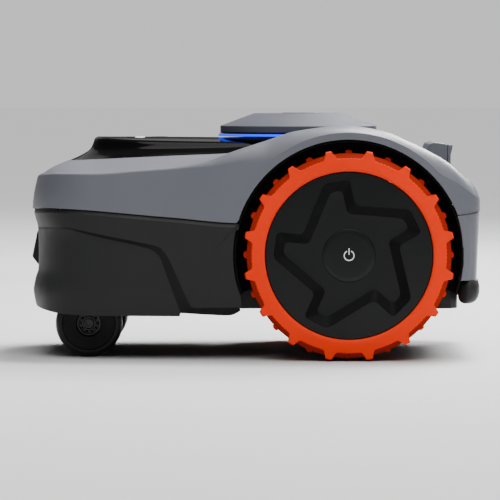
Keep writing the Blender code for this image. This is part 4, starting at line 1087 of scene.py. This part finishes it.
def make_hub(label, side):
    """A domed cover with a sunk five-armed star, and a small cap in its middle."""
    place = facing_y(WHEEL_X, WHEEL_Z, side)
    rings, floor_y = hub_rings()
    columns = [[place @ Vector((*spot, y)) for spot, y in column] for column in zip(*rings)]
    cover = grid_piece(f"star_hub_cover_{label}", columns, loop_rows=True, sharp_degrees=18)
    dress(cover, f"drive_wheel_{label}", "hub_black", f"hub_cover_{label}")
    paint_shade_on_star_walls(cover)
    radius = HUB_CAP_RADIUS
    top = floor_y + 0.5 * MM
    disc = [(radius, floor_y - 0.7 * MM), (radius, top - 0.5 * MM), (radius - 0.2 * MM, top - 0.15 * MM),
            (radius - 0.6 * MM, top)]
    disc += [(radius * share, top + 0.5 * MM * (1 - share ** 2)) for share in (0.8, 0.6, 0.4, 0.2, 0.0)]
    cap = turned(f"hub_cap_disc_{label}", disc, place, sharp_degrees=60)
    dress(cap, f"drive_wheel_{label}", "hub_black", f"hub_cap_{label}")
    make_cap_mark(label, place, top + 0.42 * MM)


def make_cap_mark(label, place, height):
    """A plain printed ring with a keyway, thin as paint."""
    shape = bmesh.new()
    profile = rectangle(5.2 * MM, height, 6.4 * MM, height + 0.12 * MM)
    first = math.radians(25)
    last = math.radians(335)
    turns = [mix(first, last, k / 64) + math.pi / 2 for k in range(65)]
    add_tube(shape, [spoke(profile, turn, place) for turn in turns])
    bar = rounded(rectangle(-0.6 * MM, 1.0 * MM, 0.6 * MM, 8.6 * MM), 0.4 * MM, 3)
    extruded(shape, bar, place, height, height + 0.12 * MM)
    mark = keep(f"hub_cap_mark_{label}", shape, sharp_degrees=40)
    dress(mark, f"drive_wheel_{label}", "key_white")


# ---- casters ----
def make_caster(label, side):
    """A rounded tread on a dished wheel, with its bearing and axle."""
    middle = middle_of(f"caster_tyre_{label}")
    place = facing_y(middle.x, middle.z, side, middle.y)
    body = f"caster_roll_{label}"
    edge = [(0.0324, 0.0116), (0.0345, 0.0119), (0.0366, 0.0112), (0.0384, 0.0094), (0.0397, 0.0066),
            (CASTER_RADIUS, 0.0028)]
    tread = [(radius, -height) for radius, height in edge] + edge[::-1]
    tyre = turned(f"caster_tread_{label}", soften(tread, 1.5 * MM, 3), place, closed=True, sharp_degrees=50)
    dress(tyre, body, "caster_black", f"caster_tyre_{label}", finish="caster_rubber")
    hub = [(0.0076, -0.0115), (0.0316, -0.0115), (0.0322, -0.0108), (0.0322, 0.0108), (0.0316, 0.0115),
           (0.0160, 0.0115), (0.0149, 0.0106), (0.0149, 0.0015), (0.0076, 0.0015)]
    wheel = turned(f"caster_hub_{label}", soften(hub, 0.6 * MM, 3), place, 96, closed=True, sharp_degrees=35)
    dress(wheel, body, "caster_black", f"caster_wheel_{label}")
    make_bearing(label, place, body)
    make_caster_axle(label, place)


def make_bearing(label, place, body):
    """Outer race, inner race and a ring of balls between them."""
    shape = bmesh.new()
    races = ((0.0123, 0.0022, 0.0145, 0.0088), (0.0064, 0.0022, 0.0085, 0.0088),
             (0.0087, 0.0030, 0.0121, 0.0056))
    for corners in races:
        profile = rectangle(*corners)
        rows = turned_rows(soften(profile + profile[:1], 0.3 * MM, 2)[:-1], 72, place)
        add_grid(shape, rows, loop_rows=True, loop_columns=True)
    for k in range(10):
        spot = spoke([(0.0104, 0.0066)], math.tau * k / 10, place)[0]
        bmesh.ops.create_uvsphere(shape, u_segments=16, v_segments=10, radius=1.7 * MM,
                                  matrix=Matrix.Translation(spot))
    bearing = keep(f"caster_ball_bearing_{label}", shape, sharp_degrees=40)
    dress(bearing, body, "steel", f"caster_bearing_{label}", finish="bearing")


def make_caster_axle(label, place):
    """A shouldered bolt with a socket in its outer end."""
    bolt = [(0.0, -0.0244), (0.0088, -0.0244), (0.0095, -0.0238), (0.0095, -0.0214), (0.0060, -0.0214),
            (0.0060, 0.0100), (0.0054, 0.0105), (0.0034, 0.0105), (0.0032, 0.0080), (0.0, 0.0080)]
    axle = turned(f"caster_bolt_{label}", bolt, place, 64, sharp_degrees=30)
    dress(axle, f"caster_swivel_{label}", "steel", f"caster_axle_{label}", finish="bearing")


# ---- solids kept as they are ----
def finish_kept_solids():
    """Give every solid that still shows its finish and a small edge break."""
    slots = {row["node"]: row["material_slot"] for row in frame["record"]["subparts"]}
    special = {"wheel_well_left": "liner_black", "wheel_well_right": "liner_black",
               "chassis_tub": "caster_rubber", "chassis_cover": "caster_rubber"}
    for name, node in frame["nodes"].items():
        if node.hide_render:
            continue
        slot = slots[name]
        node.data.materials.clear()
        node.data.materials.append(FINISH[special.get(name, slot)])
        seam = node.modifiers.new("close_seams", "WELD")
        seam.merge_threshold = 0.01 * MM
        flat = node.modifiers.new("merge_flat_faces", "DECIMATE")
        flat.decimate_type = "DISSOLVE"
        flat.angle_limit = math.radians(1)
        bevel(node, min(0.5 * MM, 0.12 * min(size_of(name))), 2, 35)


# ---- studio ----
def make_floor():
    """Pale paper with painted shade round the machine: darker near it than far away."""
    ends = (-FLOOR_REACH, FLOOR_REACH)
    floor = grid_piece("studio_floor", [[Vector((x, y, 0.0)) for x in ends] for y in ends])
    finish, shader = new_finish("floor_paper_painted_shade")
    place = new_node(finish, "TexCoord")
    spread = new_node(finish, "Mapping", Scale=(1 / FLOOR_FADE, 1 / FLOOR_FADE, 1 / FLOOR_FADE))
    distance = new_node(finish, "TexGradient")
    distance.gradient_type = "SPHERICAL"
    join(finish, place, "Object", spread, "Vector")
    join(finish, spread, "Vector", distance, "Vector")
    # Painted shade: darker near the machine, pale far away.
    add_tint(finish, shader, distance, (0.88, 0.88, 0.88), (0.50, 0.50, 0.50))
    shader.inputs["Roughness"].default_value = 0.95
    shader.inputs["Specular IOR Level"].default_value = 0.1
    floor.data.materials.append(finish)


def add_light(name, kind, place, energy):
    """A lamp that points at the middle of the machine."""
    light = bpy.data.lights.new(name, kind)
    light.energy = energy
    lamp = bpy.data.objects.new(name, light)
    bpy.context.collection.objects.link(lamp)
    lamp.location = place
    aim = Vector((0.0, 0.0, 0.15)) - Vector(place)
    lamp.rotation_euler = aim.to_track_quat("-Z", "Y").to_euler()
    return light


def add_softbox(name, place, width, height, power):
    light = add_light(name, "AREA", place, power)
    light.shape = "RECTANGLE"
    light.size = width
    light.size_y = height


def make_world():
    """A plain pale background that adds only a little light of its own."""
    world = bpy.data.worlds.new("studio")
    bpy.context.scene.world = world
    world.use_nodes = True
    white = (1.0, 1.0, 1.0, 1.0)
    ambient = world.node_tree.nodes["Background"]
    ambient.inputs["Color"].default_value = white
    ambient.inputs["Strength"].default_value = AMBIENT_STRENGTH
    seen = new_node(world, "Background", Color=white, Strength=BACKGROUND_STRENGTH)
    ray = new_node(world, "LightPath")
    choice = new_node(world, "MixShader")
    join(world, ray, "Is Camera Ray", choice, "Fac")
    join(world, ambient, "Background", choice, 1)
    join(world, seen, "Background", choice, 2)
    join(world, choice, "Shader", world.node_tree.nodes["World Output"], "Surface")


def make_studio():
    """An even top light, a front softbox, and three behind that brighten the upper surfaces."""
    make_world()
    make_floor()
    sun = add_light("top_light", "SUN", (0.3, -0.9, 3.0), TOP_STRENGTH)
    sun.angle = math.radians(50)
    add_softbox("front_softbox", (0.3, -2.6, 2.2), 3.0, 1.2, FRONT_POWER)
    add_softbox("overhead_softbox", (0.6, 0.5, 2.6), 1.2, 0.7, OVERHEAD_POWER)
    add_softbox("rear_softbox", (-0.2, 2.4, 1.2), 2.4, 1.0, REAR_POWER)
    add_softbox("tail_softbox", (1.5, 1.9, 2.2), 1.8, 1.2, TAIL_POWER)


def make_camera():
    camera = bpy.data.cameras.new("camera")
    camera.lens = 267.6
    camera.clip_end = 100.0
    holder = bpy.data.objects.new("camera", camera)
    bpy.context.collection.objects.link(holder)
    holder.location = (-0.0045, -4.6, 0.324)
    aim = Vector((-0.0045, -0.1925, 0.133))
    holder.rotation_euler = (aim - holder.location).to_track_quat("-Z", "Y").to_euler()
    bpy.context.scene.camera = holder


def main():
    make_upper_shell()
    make_front_skirt()
    make_rear_panel()
    make_rear_bumper()
    make_carry_handle()
    make_top_deck()
    make_controls()
    make_pod()
    for label, side in SIDES:
        make_tyre(label, side)
        make_hub(label, side)
        make_caster(label, side)
    finish_kept_solids()
    make_studio()
    make_camera()


main()
